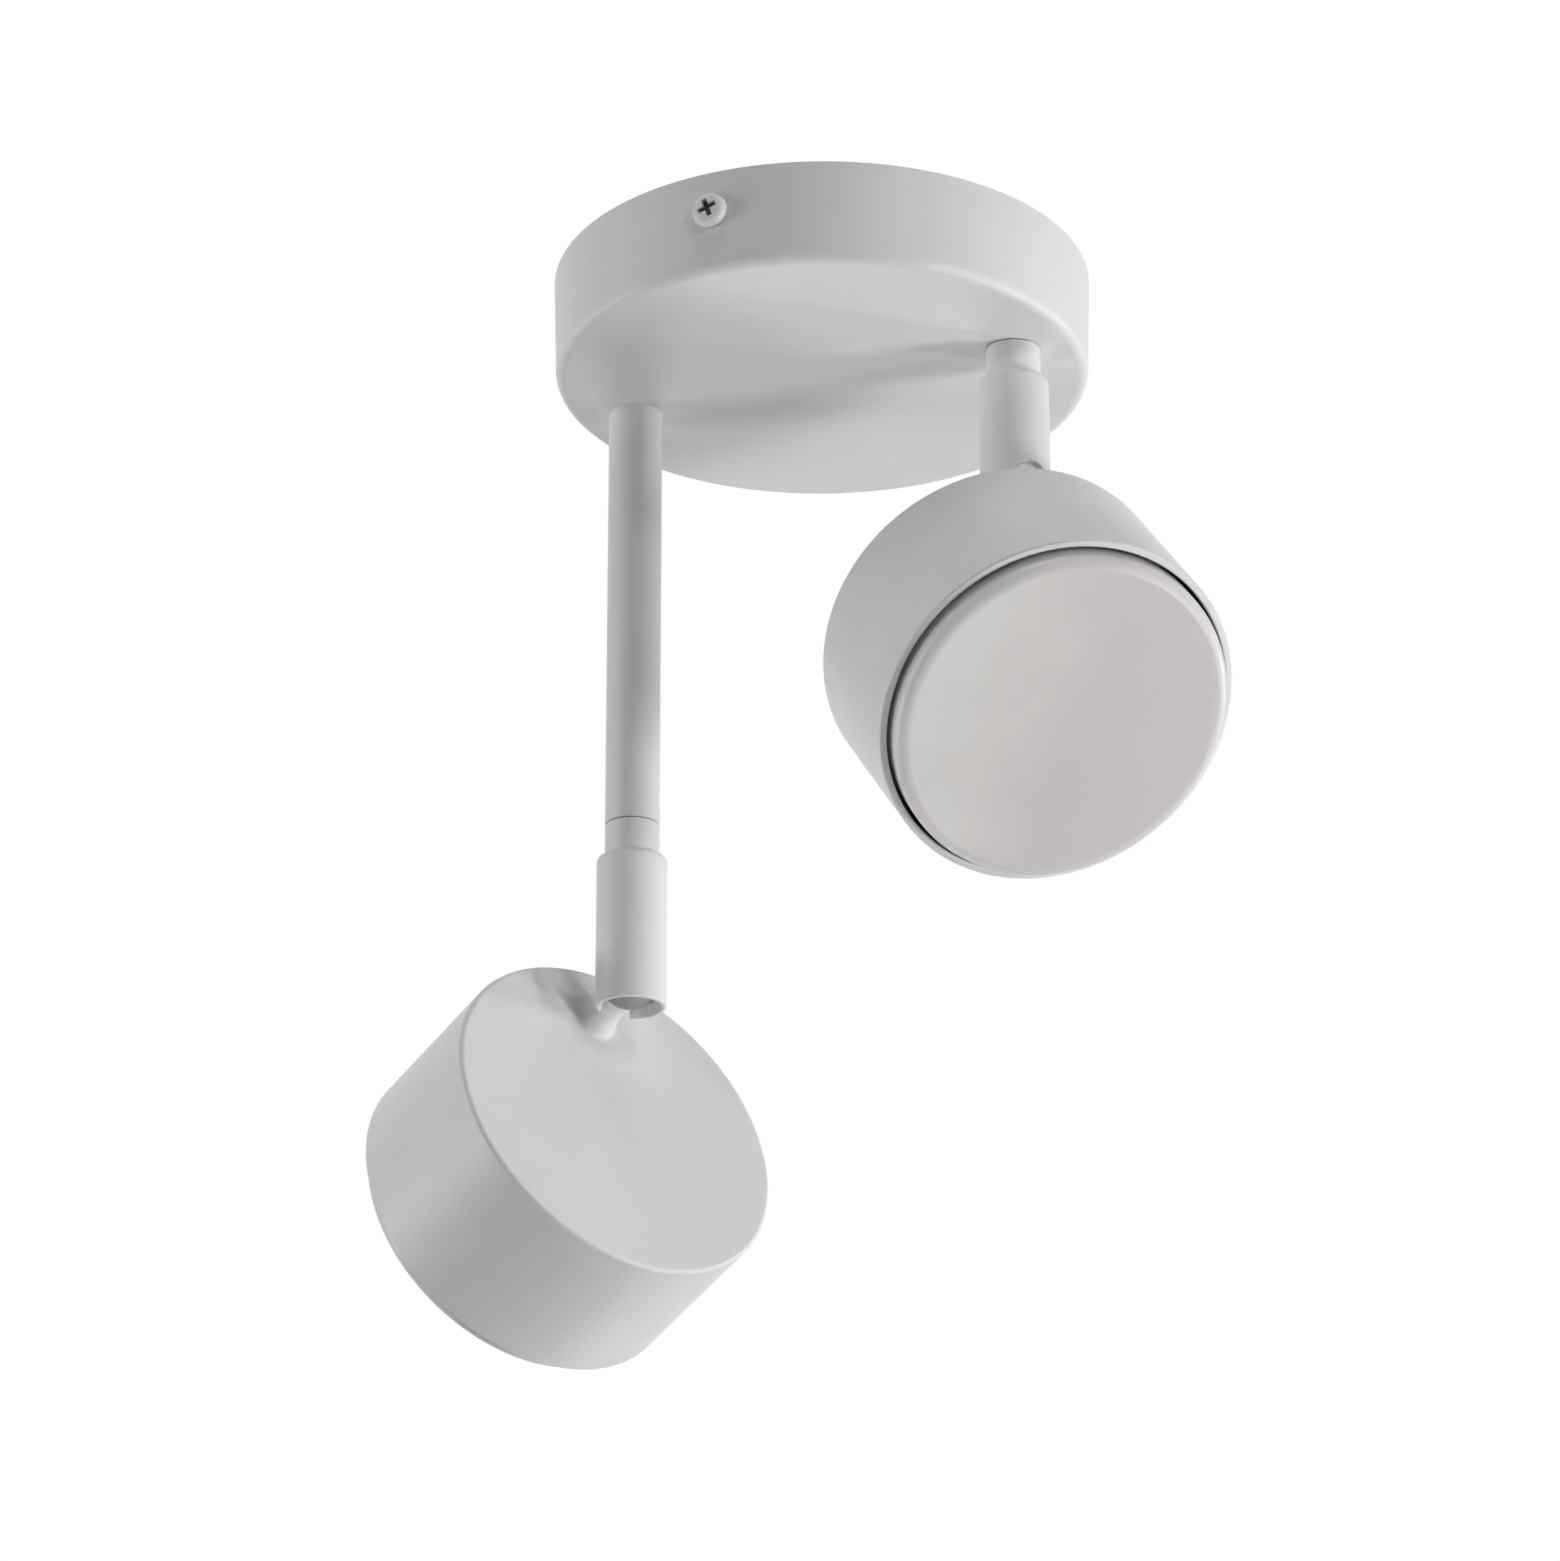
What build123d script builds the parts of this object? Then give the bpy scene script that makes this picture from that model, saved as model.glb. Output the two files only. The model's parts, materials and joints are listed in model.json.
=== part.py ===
from build123d import *
import math
import os

# Ceiling light with two adjustable spot heads under one round canopy. One head hangs on a long
# stem, the other straight from the canopy, and each has a slotted ball swivel and a flat disc lamp.
# Millimetres and degrees. The origin is the centre of the ceiling face, +Z points up, and +X points
# from the long stem towards the head that hangs straight from the canopy.

# Clearances shared by every piece
FIT = 0.05  # radial, for threads and for shafts that turn in a hole
FREE = 0.3  # between faces that pass each other without touching

# Canopy and its ceiling bracket
CANOPY_RADIUS = 60.0
CANOPY_DRAFT = 0.6  # the floor's edge is this much nearer the axis than the ceiling rim
CANOPY_HEIGHT = 23.5
CANOPY_WALL = 1.2
CANOPY_EDGE = 2.2
ARM_INSET = 15.0  # from the canopy's rim to an arm's axis
BRACKET_WIDTH = 18.0
BRACKET_METAL = 1.5
BRACKET_BEND = 1.5
CEILING_SLOT_PITCH = 72.0
CEILING_SLOT_LENGTH = 12.0
CEILING_SLOT_WIDTH = 4.5
SIDE_SCREW_DROP = 9.4  # below the ceiling
SIDE_SCREW_PLACE = -2.9  # how far round the canopy it is from the bracket's middle line
SIDE_SCREW_LENGTH = 9.0
SIDE_SCREW_TURN = 20.0  # how far the cross recess is turned from upright
TAB_END = 5.0  # from a side screw's axis to the end of its tab
SCREW_RADIUS = 2.0
SCREW_HEAD = 3.85
SCREW_HEAD_HEIGHT = 2.4

# Form of every domed screw head, as shares of its radius and height
HEAD_SIDE_SHARE = 0.33  # straight side below the dome
RECESS_LENGTH_SHARE = 1.2
RECESS_WIDTH_SHARE = 0.25
RECESS_FLOOR_SHARE = 0.4

# Terminal block and earth connection
POLE_COUNT = 3
POLE_PITCH = 9.3
BLOCK_WIDTH = 18.0
BLOCK_HEIGHT = 12.0
GROOVE_WIDTH = 1.4  # between two poles
GROOVE_DEPTH = 6.0
PEG_RADIUS = 1.5
CLAMP_SCREW_RADIUS = 1.8
CLAMP_SCREW_LENGTH = 3.2
CLAMP_SLIT_WIDTH = 0.6
CLAMP_SLIT_DEPTH = 0.9
EARTH_GAP = 4.0  # from the terminal block to the earth screw's head
EARTH_TAG_RADIUS = 4.2
EARTH_TAG_METAL = 0.8
EARTH_CRIMP_LENGTH = 5.0

# Inner leads
LEAD_RADIUS = 0.8
LEAD_GAP = 0.4  # between the two leads of one arm
LEAD_ROOM = 0.4  # round both leads in the bore of a stud
LEAD_DROP = 7.5  # level of the leads in the canopy, below the ceiling
LEAD_BEND = 6.0  # where a lead turns out of a nipple
LEAD_STRIP = 4.0  # length inside a terminal
LEAD_TAIL = 11.0  # straight run in front of a terminal
HEAD_LEAD_BEND = 5.0
BEND_SHARE = 0.45  # part of the shorter run that a bend may take up

# Long stem and the hollow threads
NIPPLE_RADIUS = 5.0
NIPPLE_WALL = 1.5
NIPPLE_GRIP = 11.0  # length screwed into the stem
STEM_WALL = 1.0  # outside the thread
STEM_LAND = 0.5  # how much narrower the stem's bore is than its thread
STEM_LENGTH = 100.0
NUT_WALL = 2.0  # from the thread to the nut's flats
NUT_HEIGHT = 5.0
NUT_WASHER_RIM = 4.0  # from the thread to the washer's edge
NUT_WASHER = 1.0
THREAD_END = 1.5  # thread left standing past the nut

# Ball swivel, with its heights counted from the ball's centre
SWIVEL_RISE = 36.0  # up to the collar's top
COLLAR_LENGTH = 7.5
SHOULDER = 1.2  # rounding between the collar and the barrel
PIVOT_DEPTH = 16.6  # from the collar's top down to the pivot flange
FLANGE_RIM = 0.65  # how far the flange stands out from the thread
FLANGE_HEIGHT = 2.0
PIVOT_WASHER = 0.5
JOINT_WASHER = 0.3
JOINT_WASHER_INSET = 0.4
CAP_WALL = 0.85  # inside the cap's thread
CAP_THREAD = 0.45  # how much the cap's thread widens the barrel's bore
BARREL_WALL = 0.85  # outside the cap's thread
BARREL_EDGE = 0.5
LIP_DROP = 6.2  # from the ball's centre to the barrel's lower end
LIP_EDGE = 0.9  # width of the barrel's lower end round its flared mouth
MOUTH_GAP = 1.5  # between the mouth and the stud
MOUTH_WALL = 0.6  # height of the mouth between the ball's seat and the flare
SLOT_RISE = 1.8  # from the ball's centre up to the middle of the slot's round top
KEY_RADIUS = 1.2
KEY_STAND = 0.5  # how far the key pins stand out of the ball
CUP_CROWN = 2.25  # above the ball
CUP_BORE = 3.3
SPRING_SPACE = 3.7  # between the cup and the cap
SPRING_METAL = 0.6

# Spot head, with its heights counted from the outer face of its back plate
STUD_RADIUS = 4.0  # neck and thread alike
STUD_STANDOFF = 14.3  # from the ball's centre to the back plate
STUD_INSET = 13.3  # from the head's side wall to the stud's axis
FOOT_RIM = 1.0  # how far the stud's foot stands out from its neck
FOOT_FLARE = 4.5  # height over which the neck widens to the foot
STUD_NUT_WALL = 2.5
STUD_NUT_HEIGHT = 4.0
STUD_WASHER_RIM = 4.0
STUD_WASHER = 0.8
STUD_END = 0.5  # thread left standing past the nut
HEAD_WALL = 1.7
HEAD_EDGE = 1.0
RIM_EDGE = 0.4
LAMP_GAP = 0.8  # dark ring between the lamp and the head's wall
WIRE_SPACE = 12.3  # between the back plate and the lampholder

# Lampholder on its bridge
HOLDER_INSET = 2.5  # how much nearer the axis its rim is than the lamp's
HOLDER_HEIGHT = 12.0
HOLDER_DECK = 3.0
HOLDER_WALL = 1.8
HOLDER_LAND = 7.0  # from a pin's axis to the hole in the middle
PIN_INSET = 8.5  # from the lampholder's rim to a pin's axis
PIN_TWIST = 12.0  # turn that frees the lamp
BRIDGE_WIDTH = 14.0
BRIDGE_METAL = 1.2
BRIDGE_STEP = 4.0  # from a lampholder screw to the bridge's upright
BRIDGE_FOOT = 5.0
HOLDER_SCREW_INSET = 8.0  # from the lampholder's rim to a screw's axis
HOLDER_SCREW_RADIUS = 1.5
HOLDER_SCREW_HEAD = 2.8
HOLDER_SCREW_HEAD_HEIGHT = 1.8
BOSS_WALL = 1.0
CONTACT_WIDTH = 7.0
CONTACT_METAL = 0.5
CONTACT_LENGTH = 10.0

# Disc lamp
LAMP_RADIUS = 37.5
LAMP_PROUD = 4.7  # how far the front stands out of the head's rim
LAMP_EDGE = 2.6
LAMP_WALL = 1.6
LAMP_TAPER = 1.5  # how much nearer the axis the back's edge is than the front's
LAMP_BACK_DEPTH = 6.8  # from the diffuser to the mating face
LAMP_BOSS_HEIGHT = 9.0
DIFFUSER_DEPTH = 10.0
BOARD_METAL = 1.6
BOARD_LEDGE = 1.6
CHIP_SIZE = 3.0
CHIP_HEIGHT = 0.7
CHIP_RINGS = ((12.0, 8), (24.0, 16))  # radius and count of each ring of light sources
PIN_NECK = 1.6
PIN_HEAD = 2.6
PIN_HEAD_HEIGHT = 2.3
PIN_HEAD_EDGE = 1.1
PIN_RIVET = 0.8

# Places and sizes that follow from the ones above: canopy and arms
ARM_OFFSET = CANOPY_RADIUS - ARM_INSET
FLOOR_TOP = CANOPY_WALL - CANOPY_HEIGHT
TAB_HEIGHT = SIDE_SCREW_DROP + TAB_END
NIPPLE_TOP = FLOOR_TOP + NUT_WASHER + NUT_HEIGHT + THREAD_END
NIPPLE_BORE = NIPPLE_RADIUS - NIPPLE_WALL
STEM_RADIUS = NIPPLE_RADIUS + STEM_WALL
BLOCK_LENGTH = POLE_COUNT * POLE_PITCH
EARTH_PLACE = -(BLOCK_LENGTH / 2 + EARTH_GAP + SCREW_HEAD)
LEAD_SIDE = LEAD_RADIUS + LEAD_GAP / 2  # from an arm's axis to each of its leads

# Swivel, from the pivot's thread outwards to the barrel and inwards to the ball
FLANGE_RADIUS = NIPPLE_RADIUS + FLANGE_RIM
CAP_BORE = FLANGE_RADIUS + FREE + FIT
THREAD_RADIUS = CAP_BORE + CAP_WALL + FIT
BARREL_RADIUS = THREAD_RADIUS + BARREL_WALL
SEAT_RADIUS = THREAD_RADIUS - CAP_THREAD
BALL_RADIUS = SEAT_RADIUS - 2 * FIT
MOUTH_RADIUS = STUD_RADIUS + MOUTH_GAP
SLOT_HALF = STUD_RADIUS + FREE + FIT
SEAT_LOW = -math.sqrt(SEAT_RADIUS ** 2 - MOUTH_RADIUS ** 2)
LIP = -LIP_DROP
LIP_RADIUS = BARREL_RADIUS - LIP_EDGE
CUP_LOW = SLOT_HALF  # clear of the raised stud
CUP_TOP = BALL_RADIUS + CUP_CROWN
CAP_BOTTOM = CUP_TOP + SPRING_SPACE
BARREL_STEP = CAP_BOTTOM - FREE
BARREL_TOP = SWIVEL_RISE - COLLAR_LENGTH - SHOULDER
FLANGE_TOP = SWIVEL_RISE - PIVOT_DEPTH
LEDGE = FLANGE_TOP + PIVOT_WASHER + FIT
STEM_END = SWIVEL_RISE + JOINT_WASHER

# Head, from the lamp outwards and from the back plate to the front
HEAD_RADIUS = LAMP_RADIUS + LAMP_GAP + HEAD_WALL
STUD_OFFSET = HEAD_RADIUS - STUD_INSET
STUD_BORE = LEAD_SIDE + LEAD_RADIUS + LEAD_ROOM
STUD_TIP = -(HEAD_WALL + STUD_WASHER + STUD_NUT_HEIGHT + STUD_END)
HOLDER_RADIUS = LAMP_RADIUS - HOLDER_INSET
PIN_CIRCLE = HOLDER_RADIUS - PIN_INSET
HOLDER_HOLE = PIN_CIRCLE - HOLDER_LAND
HOLDER_SCREW_CIRCLE = HOLDER_RADIUS - HOLDER_SCREW_INSET
HOLDER_BACK = -HEAD_WALL - WIRE_SPACE
DECK = HOLDER_BACK - HOLDER_HEIGHT
HOLDER_SCREW_SEAT = DECK + HOLDER_SCREW_HEAD_HEIGHT + FREE
PIN_HEAD_LOW = DECK + HOLDER_DECK + FREE
PIN_HEAD_TOP = PIN_HEAD_LOW + PIN_HEAD_HEIGHT
CONTACT_LOW = PIN_HEAD_TOP + FREE
MATE = DECK - FREE
DIFFUSER_RIM = MATE - LAMP_BACK_DEPTH
FRONT = DIFFUSER_RIM - DIFFUSER_DEPTH
HEAD_RIM = FRONT + LAMP_PROUD

# Rest pose: how far each swivel is turned from +X and its head tilted from straight down
ARMS = {
    "long": {"x": -ARM_OFFSET, "stem": STEM_LENGTH, "pan": 148.4, "tilt": 70.5},
    "short": {"x": ARM_OFFSET, "stem": 0.0, "pan": -42.0, "tilt": 43.0},
}

UP = (Align.CENTER, Align.CENTER, Align.MIN)
DOWN = (Align.CENTER, Align.CENTER, Align.MAX)


def rod(radius, low, high):
    """Round bar about Z between two heights."""
    return Pos(0, 0, low) * Cylinder(radius, high - low, align=UP)


def tube(outer, inner, low, high):
    """Round bar about Z with a bore."""
    return rod(outer, low, high) - rod(inner, low, high)


def along_x(radius, length):
    """Round bar from the origin along +X."""
    return Rot(0, 90, 0) * Cylinder(radius, length, align=UP)


def along_y(radius, length):
    """Round bar along Y with its middle at the origin."""
    return Rot(90, 0, 0) * Cylinder(radius, length)


def turned(profile):
    """Solid turned about Z from a face drawn as radius and height."""
    return revolve(Plane.XZ * profile, Axis.Z)


def outline(*points):
    """Face inside straight edges."""
    return make_face(Polyline(*points, close=True))


def rounded(face, corner, radius):
    """The face with the corner at a point rounded."""
    vertex = face.vertices().sort_by_distance((*corner, 0))[0]
    return fillet(vertex, radius)


def pair(piece, step):
    """Two copies of a piece, a step either side of the origin."""
    return [Pos(*step) * piece, Pos(*[-part for part in step]) * piece]


def group(*pieces):
    """Several separate solids kept as one node."""
    return Compound([solid for piece in pieces for solid in piece.solids()])


def washer(thread, rim, low, thickness):
    """Flat washer round a thread."""
    return tube(thread + rim, thread + FIT, low, low + thickness)


def hex_nut(thread, wall, low, height):
    """Six-sided nut round a thread, with its wall counted to the flats."""
    body = extrude(RegularPolygon(thread + wall, 6, major_radius=False), height)
    return Pos(0, 0, low) * body - rod(thread + FIT, low, low + height)


def pan_screw(radius, length, head, head_height):
    """Domed screw with a cross recess. Its head sits on z = 0 and its shank points down."""
    side = HEAD_SIDE_SHARE * head_height
    bulge = (math.sqrt(0.5) * head, side + math.sqrt(0.5) * (head_height - side))
    dome = make_face([
        Polyline((0, head_height), (0, 0), (head, 0), (head, side)),
        ThreePointArc((head, side), bulge, (0, head_height)),
    ])
    wing = Box(RECESS_LENGTH_SHARE * head, RECESS_WIDTH_SHARE * head, head_height, align=UP)
    recess = Pos(0, 0, RECESS_FLOOR_SHARE * head_height) * (wing + Rot(0, 0, 90) * wing)
    return turned(dome) + rod(radius, -length, 0) - recess


def strip(points, bend, metal, width):
    """Flat metal of one width bent along points in the YZ plane, about X = 0."""
    path = FilletPolyline(*points, radius=bend + metal / 2)
    return extrude(Plane.YZ * trace(path, metal), width / 2, both=True)


def lead(*points, widest=()):
    """Round lead along straight runs joined by arcs as large as the runs or a given radius allow."""
    radii = []
    for before, here, after in zip(points, points[1:], points[2:]):
        first = Vector(*here) - Vector(*before)
        second = Vector(*after) - Vector(*here)
        half_turn = math.radians(first.get_angle(second) / 2)
        radii.append(BEND_SHARE * min(first.length, second.length) / math.tan(half_turn))
    radii[:len(widest)] = [min(both) for both in zip(radii, widest)]
    path = FilletPolyline(*points, radius=radii) if radii else Line(*points)
    body = sweep(Plane(origin=path @ 0, z_dir=path % 0) * Circle(LEAD_RADIUS), path=path)
    expected = math.pi * LEAD_RADIUS ** 2 * path.length
    print("lead radii", [round(radius, 1) for radius in radii])
    print("lead volume over section times length", round(body.volume / expected, 4))
    return body


def canopy_radius(z):
    """Outer radius of the canopy's drafted wall at a height."""
    return CANOPY_RADIUS + CANOPY_DRAFT * z / CANOPY_HEIGHT


def side_screw_line():
    """Place whose Y axis is the common axis of both side screws."""
    return Pos(0, 0, -SIDE_SCREW_DROP) * Rot(0, 0, SIDE_SCREW_PLACE)


def canopy_shell():
    """Pressed cup, open to the ceiling, with two arm holes in its floor and two screw holes in its wall."""
    low = CANOPY_RADIUS - CANOPY_DRAFT
    inside = low - CANOPY_WALL
    outer = outline((0, 0), (CANOPY_RADIUS, 0), (low, -CANOPY_HEIGHT), (0, -CANOPY_HEIGHT))
    outer = rounded(outer, (low, -CANOPY_HEIGHT), CANOPY_EDGE)
    inner = outline((0, 0), (CANOPY_RADIUS - CANOPY_WALL, 0), (inside, FLOOR_TOP), (0, FLOOR_TOP))
    inner = rounded(inner, (inside, FLOOR_TOP), CANOPY_EDGE - CANOPY_WALL)
    shell = turned(outer - inner)
    for hole in pair(rod(NIPPLE_RADIUS + FREE, -2 * CANOPY_HEIGHT, 0), (ARM_OFFSET, 0, 0)):
        shell -= hole
    return shell - side_screw_line() * along_y(SCREW_RADIUS + FREE, 3 * CANOPY_RADIUS)


def mounting_bracket():
    """Strap across the ceiling with ceiling screw slots, small fixing holes and a tapped tab at each end."""
    corner = canopy_radius(-TAB_HEIGHT) - CANOPY_WALL - FREE
    reach = math.sqrt(corner ** 2 - (BRACKET_WIDTH / 2) ** 2) - BRACKET_METAL / 2
    top = -BRACKET_METAL / 2
    points = ((-reach, -TAB_HEIGHT), (-reach, top), (reach, top), (reach, -TAB_HEIGHT))
    body = strip(points, BRACKET_BEND, BRACKET_METAL, BRACKET_WIDTH)
    slot_face = SlotOverall(CEILING_SLOT_LENGTH, CEILING_SLOT_WIDTH, rotation=90)
    slot = extrude(slot_face, 2 * BRACKET_METAL, both=True)
    peg_hole = rod(PEG_RADIUS + FIT, -2 * BRACKET_METAL, BRACKET_METAL)
    earth_hole = rod(SCREW_RADIUS + FIT, -2 * BRACKET_METAL, BRACKET_METAL)
    for cut in pair(slot, (0, CEILING_SLOT_PITCH / 2, 0)) + pair(peg_hole, (0, POLE_PITCH, 0)):
        body -= cut
    body -= Pos(0, EARTH_PLACE, 0) * earth_hole
    return body - side_screw_line() * along_y(SCREW_RADIUS + FIT, 3 * CANOPY_RADIUS)


def canopy_screws():
    """Two domed screws through the canopy's wall into the bracket's tabs."""
    screw = pan_screw(SCREW_RADIUS, SIDE_SCREW_LENGTH, SCREW_HEAD, SCREW_HEAD_HEIGHT)
    seat = canopy_radius(SCREW_HEAD - SIDE_SCREW_DROP)
    near = side_screw_line() * Pos(0, -seat, 0) * Rot(90, 0, 0) * Rot(0, 0, SIDE_SCREW_TURN) * screw
    return group(near, Rot(0, 0, 180) * near)


def pole_places():
    """Distance of each terminal along Y, counted from the middle one."""
    return [(index - (POLE_COUNT - 1) / 2) * POLE_PITCH for index in range(POLE_COUNT)]


def terminal_block():
    """Moulded row of screw terminals, pegged to the underside of the bracket."""
    top = -BRACKET_METAL
    low = top - BLOCK_HEIGHT
    body = Pos(0, 0, low) * Box(BLOCK_WIDTH, BLOCK_LENGTH, BLOCK_HEIGHT, align=UP)
    groove = Pos(0, 0, low) * Box(BLOCK_WIDTH, GROOVE_WIDTH, GROOVE_DEPTH, align=UP)
    wire_hole = Pos(-BLOCK_WIDTH, 0, -LEAD_DROP) * along_x(LEAD_RADIUS + FREE, 2 * BLOCK_WIDTH)
    well = rod(CLAMP_SCREW_RADIUS + FIT, low, -LEAD_DROP)
    for place in pole_places():
        body -= Pos(0, place, 0) * (wire_hole + well)
    for place in pole_places()[1:]:
        body -= Pos(0, place - POLE_PITCH / 2, 0) * groove
    for peg in pair(rod(PEG_RADIUS, top, -FREE), (0, POLE_PITCH, 0)):
        body += peg
    return body


def terminal_screws():
    """Slotted clamp screw in each terminal."""
    top = -LEAD_DROP - LEAD_RADIUS - FIT
    low = top - CLAMP_SCREW_LENGTH
    slit = Pos(0, 0, low) * Box(2 * CLAMP_SCREW_RADIUS, CLAMP_SLIT_WIDTH, CLAMP_SLIT_DEPTH, align=UP)
    screw = rod(CLAMP_SCREW_RADIUS, low, top) - slit
    return group(*[Pos(0, place, 0) * screw for place in pole_places()])


def earth_tag():
    """Ring tag under the earth screw, with a crimp for its lead beside the bracket."""
    top = -BRACKET_METAL
    crimp = LEAD_RADIUS + EARTH_TAG_METAL
    edge = BRACKET_WIDTH / 2
    ring = rod(EARTH_TAG_RADIUS, top - EARTH_TAG_METAL, top)
    tongue_side = (Align.MAX, Align.CENTER, Align.MAX)
    tongue = Pos(0, 0, top) * Box(edge + FREE, 2 * crimp, EARTH_TAG_METAL, align=tongue_side)
    seat = Pos(-edge - EARTH_CRIMP_LENGTH, 0, top - crimp)
    barrel = seat * along_x(crimp, EARTH_CRIMP_LENGTH)
    bore = seat * along_x(LEAD_RADIUS + FIT, EARTH_CRIMP_LENGTH)
    body = ring + tongue + barrel - bore - rod(SCREW_RADIUS + FIT, 2 * top, 0)
    return Pos(0, EARTH_PLACE, 0) * body


def earth_screw():
    """Domed screw that holds the earth tag to the bracket."""
    seat = -BRACKET_METAL - EARTH_TAG_METAL
    screw = pan_screw(SCREW_RADIUS, -seat - FREE, SCREW_HEAD, SCREW_HEAD_HEIGHT)
    return Pos(0, EARTH_PLACE, seat) * Rot(180, 0, 0) * screw


def earth_lead():
    """Lead from the earth tag's crimp round to the nearest terminal."""
    start = -BRACKET_WIDTH / 2 - FIT
    loop = start - 2 * EARTH_CRIMP_LENGTH
    high = -BRACKET_METAL - LEAD_RADIUS - EARTH_TAG_METAL
    pole = pole_places()[0]
    end = LEAD_STRIP - BLOCK_WIDTH / 2
    return lead(
        (start, EARTH_PLACE, high),
        (loop, EARTH_PLACE, high),
        (loop, pole, -LEAD_DROP),
        (end, pole, -LEAD_DROP),
    )


def arm_leads(arm):
    """Two leads from above the ball, up the arm's axis and across the canopy to their terminals."""
    x = arm["x"]
    side = math.copysign(1, x)
    low = ball_height(arm) + CUP_TOP
    mouth = side * BLOCK_WIDTH / 2
    tail = mouth + side * LEAD_TAIL
    end = mouth - side * LEAD_STRIP
    level = -LEAD_DROP
    near, far = pole_places()[-2:]
    first = lead((x, -LEAD_SIDE, low), (x, -LEAD_SIDE, level), (end, near, level), widest=[LEAD_BEND])
    second = lead(
        (x, LEAD_SIDE, low),
        (x, LEAD_SIDE, level),
        (tail, far, level),
        (end, far, level),
        widest=[LEAD_BEND],
    )
    return group(first, second)


def ball_height(arm):
    """Height of an arm's ball below the ceiling."""
    return -CANOPY_HEIGHT - arm["stem"] - STEM_END


def long_stem():
    """Thick tube, tapped at both ends."""
    top = -CANOPY_HEIGHT
    low = top - STEM_LENGTH
    thread = NIPPLE_RADIUS + FIT
    depth = NIPPLE_GRIP + FREE
    body = tube(STEM_RADIUS, NIPPLE_RADIUS - STEM_LAND, low, top)
    return Pos(-ARM_OFFSET, 0, 0) * (body - rod(thread, low, low + depth) - rod(thread, top - depth, top))


def stem_nipple():
    """Hollow thread that joins the long stem to the canopy."""
    body = tube(NIPPLE_RADIUS, NIPPLE_BORE, -CANOPY_HEIGHT - NIPPLE_GRIP, NIPPLE_TOP)
    return Pos(-ARM_OFFSET, 0, 0) * body


def nipple_washers():
    """Washer under each nipple's nut, on the canopy's floor."""
    piece = washer(NIPPLE_RADIUS, NUT_WASHER_RIM, FLOOR_TOP, NUT_WASHER)
    return group(*pair(piece, (ARM_OFFSET, 0, 0)))


def nipple_nuts():
    """Nut on each nipple inside the canopy."""
    nut = hex_nut(NIPPLE_RADIUS, NUT_WALL, FLOOR_TOP + NUT_WASHER, NUT_HEIGHT)
    return group(*pair(nut, (ARM_OFFSET, 0, 0)))


def pivot_nipple(arm):
    """Hollow flanged thread on which a swivel turns."""
    top = STEM_END + NIPPLE_GRIP if arm["stem"] else NIPPLE_TOP - ball_height(arm)
    low = FLANGE_TOP - FLANGE_HEIGHT
    return rod(FLANGE_RADIUS, low, FLANGE_TOP) + rod(NIPPLE_RADIUS, low, top) - rod(NIPPLE_BORE, low, top)


def pivot_washer():
    """Friction washer on the flange, under the cap's ledge."""
    return washer(NIPPLE_RADIUS, FLANGE_RIM, FLANGE_TOP, PIVOT_WASHER)


def joint_washer():
    """Thin slip washer in the joint above the collar."""
    return washer(NIPPLE_RADIUS, STEM_WALL - JOINT_WASHER_INSET, SWIVEL_RISE, JOINT_WASHER)


def swivel_cap():
    """Collar with a round shoulder and a hollow thread that closes the barrel's top."""
    thread = THREAD_RADIUS - FIT
    profile = make_face([
        Polyline(
            (BARREL_RADIUS - SHOULDER, BARREL_TOP + SHOULDER),
            (STEM_RADIUS, BARREL_TOP + SHOULDER),
            (STEM_RADIUS, SWIVEL_RISE),
            (NIPPLE_RADIUS + FIT, SWIVEL_RISE),
            (NIPPLE_RADIUS + FIT, LEDGE),
            (CAP_BORE, LEDGE),
            (CAP_BORE, CAP_BOTTOM),
            (thread, CAP_BOTTOM),
            (thread, BARREL_TOP),
            (BARREL_RADIUS, BARREL_TOP),
        ),
        CenterArc((BARREL_RADIUS - SHOULDER, BARREL_TOP), SHOULDER, 0, 90),
    ])
    return turned(profile)


def swivel_barrel():
    """Slotted barrel with a seat and a flared mouth for the ball, and a keyway each side for its key pins."""
    mouth_turn = math.degrees(math.acos(MOUTH_RADIUS / SEAT_RADIUS))
    profile = make_face([
        Polyline(
            (SEAT_RADIUS, 0),
            (SEAT_RADIUS, BARREL_STEP),
            (THREAD_RADIUS, BARREL_STEP),
            (THREAD_RADIUS, BARREL_TOP),
            (BARREL_RADIUS, BARREL_TOP),
            (BARREL_RADIUS, LIP),
            (LIP_RADIUS, LIP),
            (MOUTH_RADIUS, SEAT_LOW - MOUTH_WALL),
            (MOUTH_RADIUS, SEAT_LOW),
        ),
        CenterArc((0, 0), SEAT_RADIUS, -mouth_turn, mouth_turn),
    ])
    body = turned(rounded(profile, (BARREL_RADIUS, LIP), BARREL_EDGE))
    way_out = 2 * BARREL_RADIUS
    below = (Align.MIN, Align.CENTER, Align.MAX)
    slot = along_x(SLOT_HALF, way_out) + Box(way_out, 2 * SLOT_HALF, way_out, align=below)
    slot = Pos(0, 0, SLOT_RISE) * slot
    key = KEY_RADIUS + FIT
    key_span = 2 * (BALL_RADIUS + KEY_STAND + FREE)
    keyway = along_y(key, key_span) + Box(2 * key, key_span, BARREL_STEP, align=UP)
    return body - slot - keyway


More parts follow.
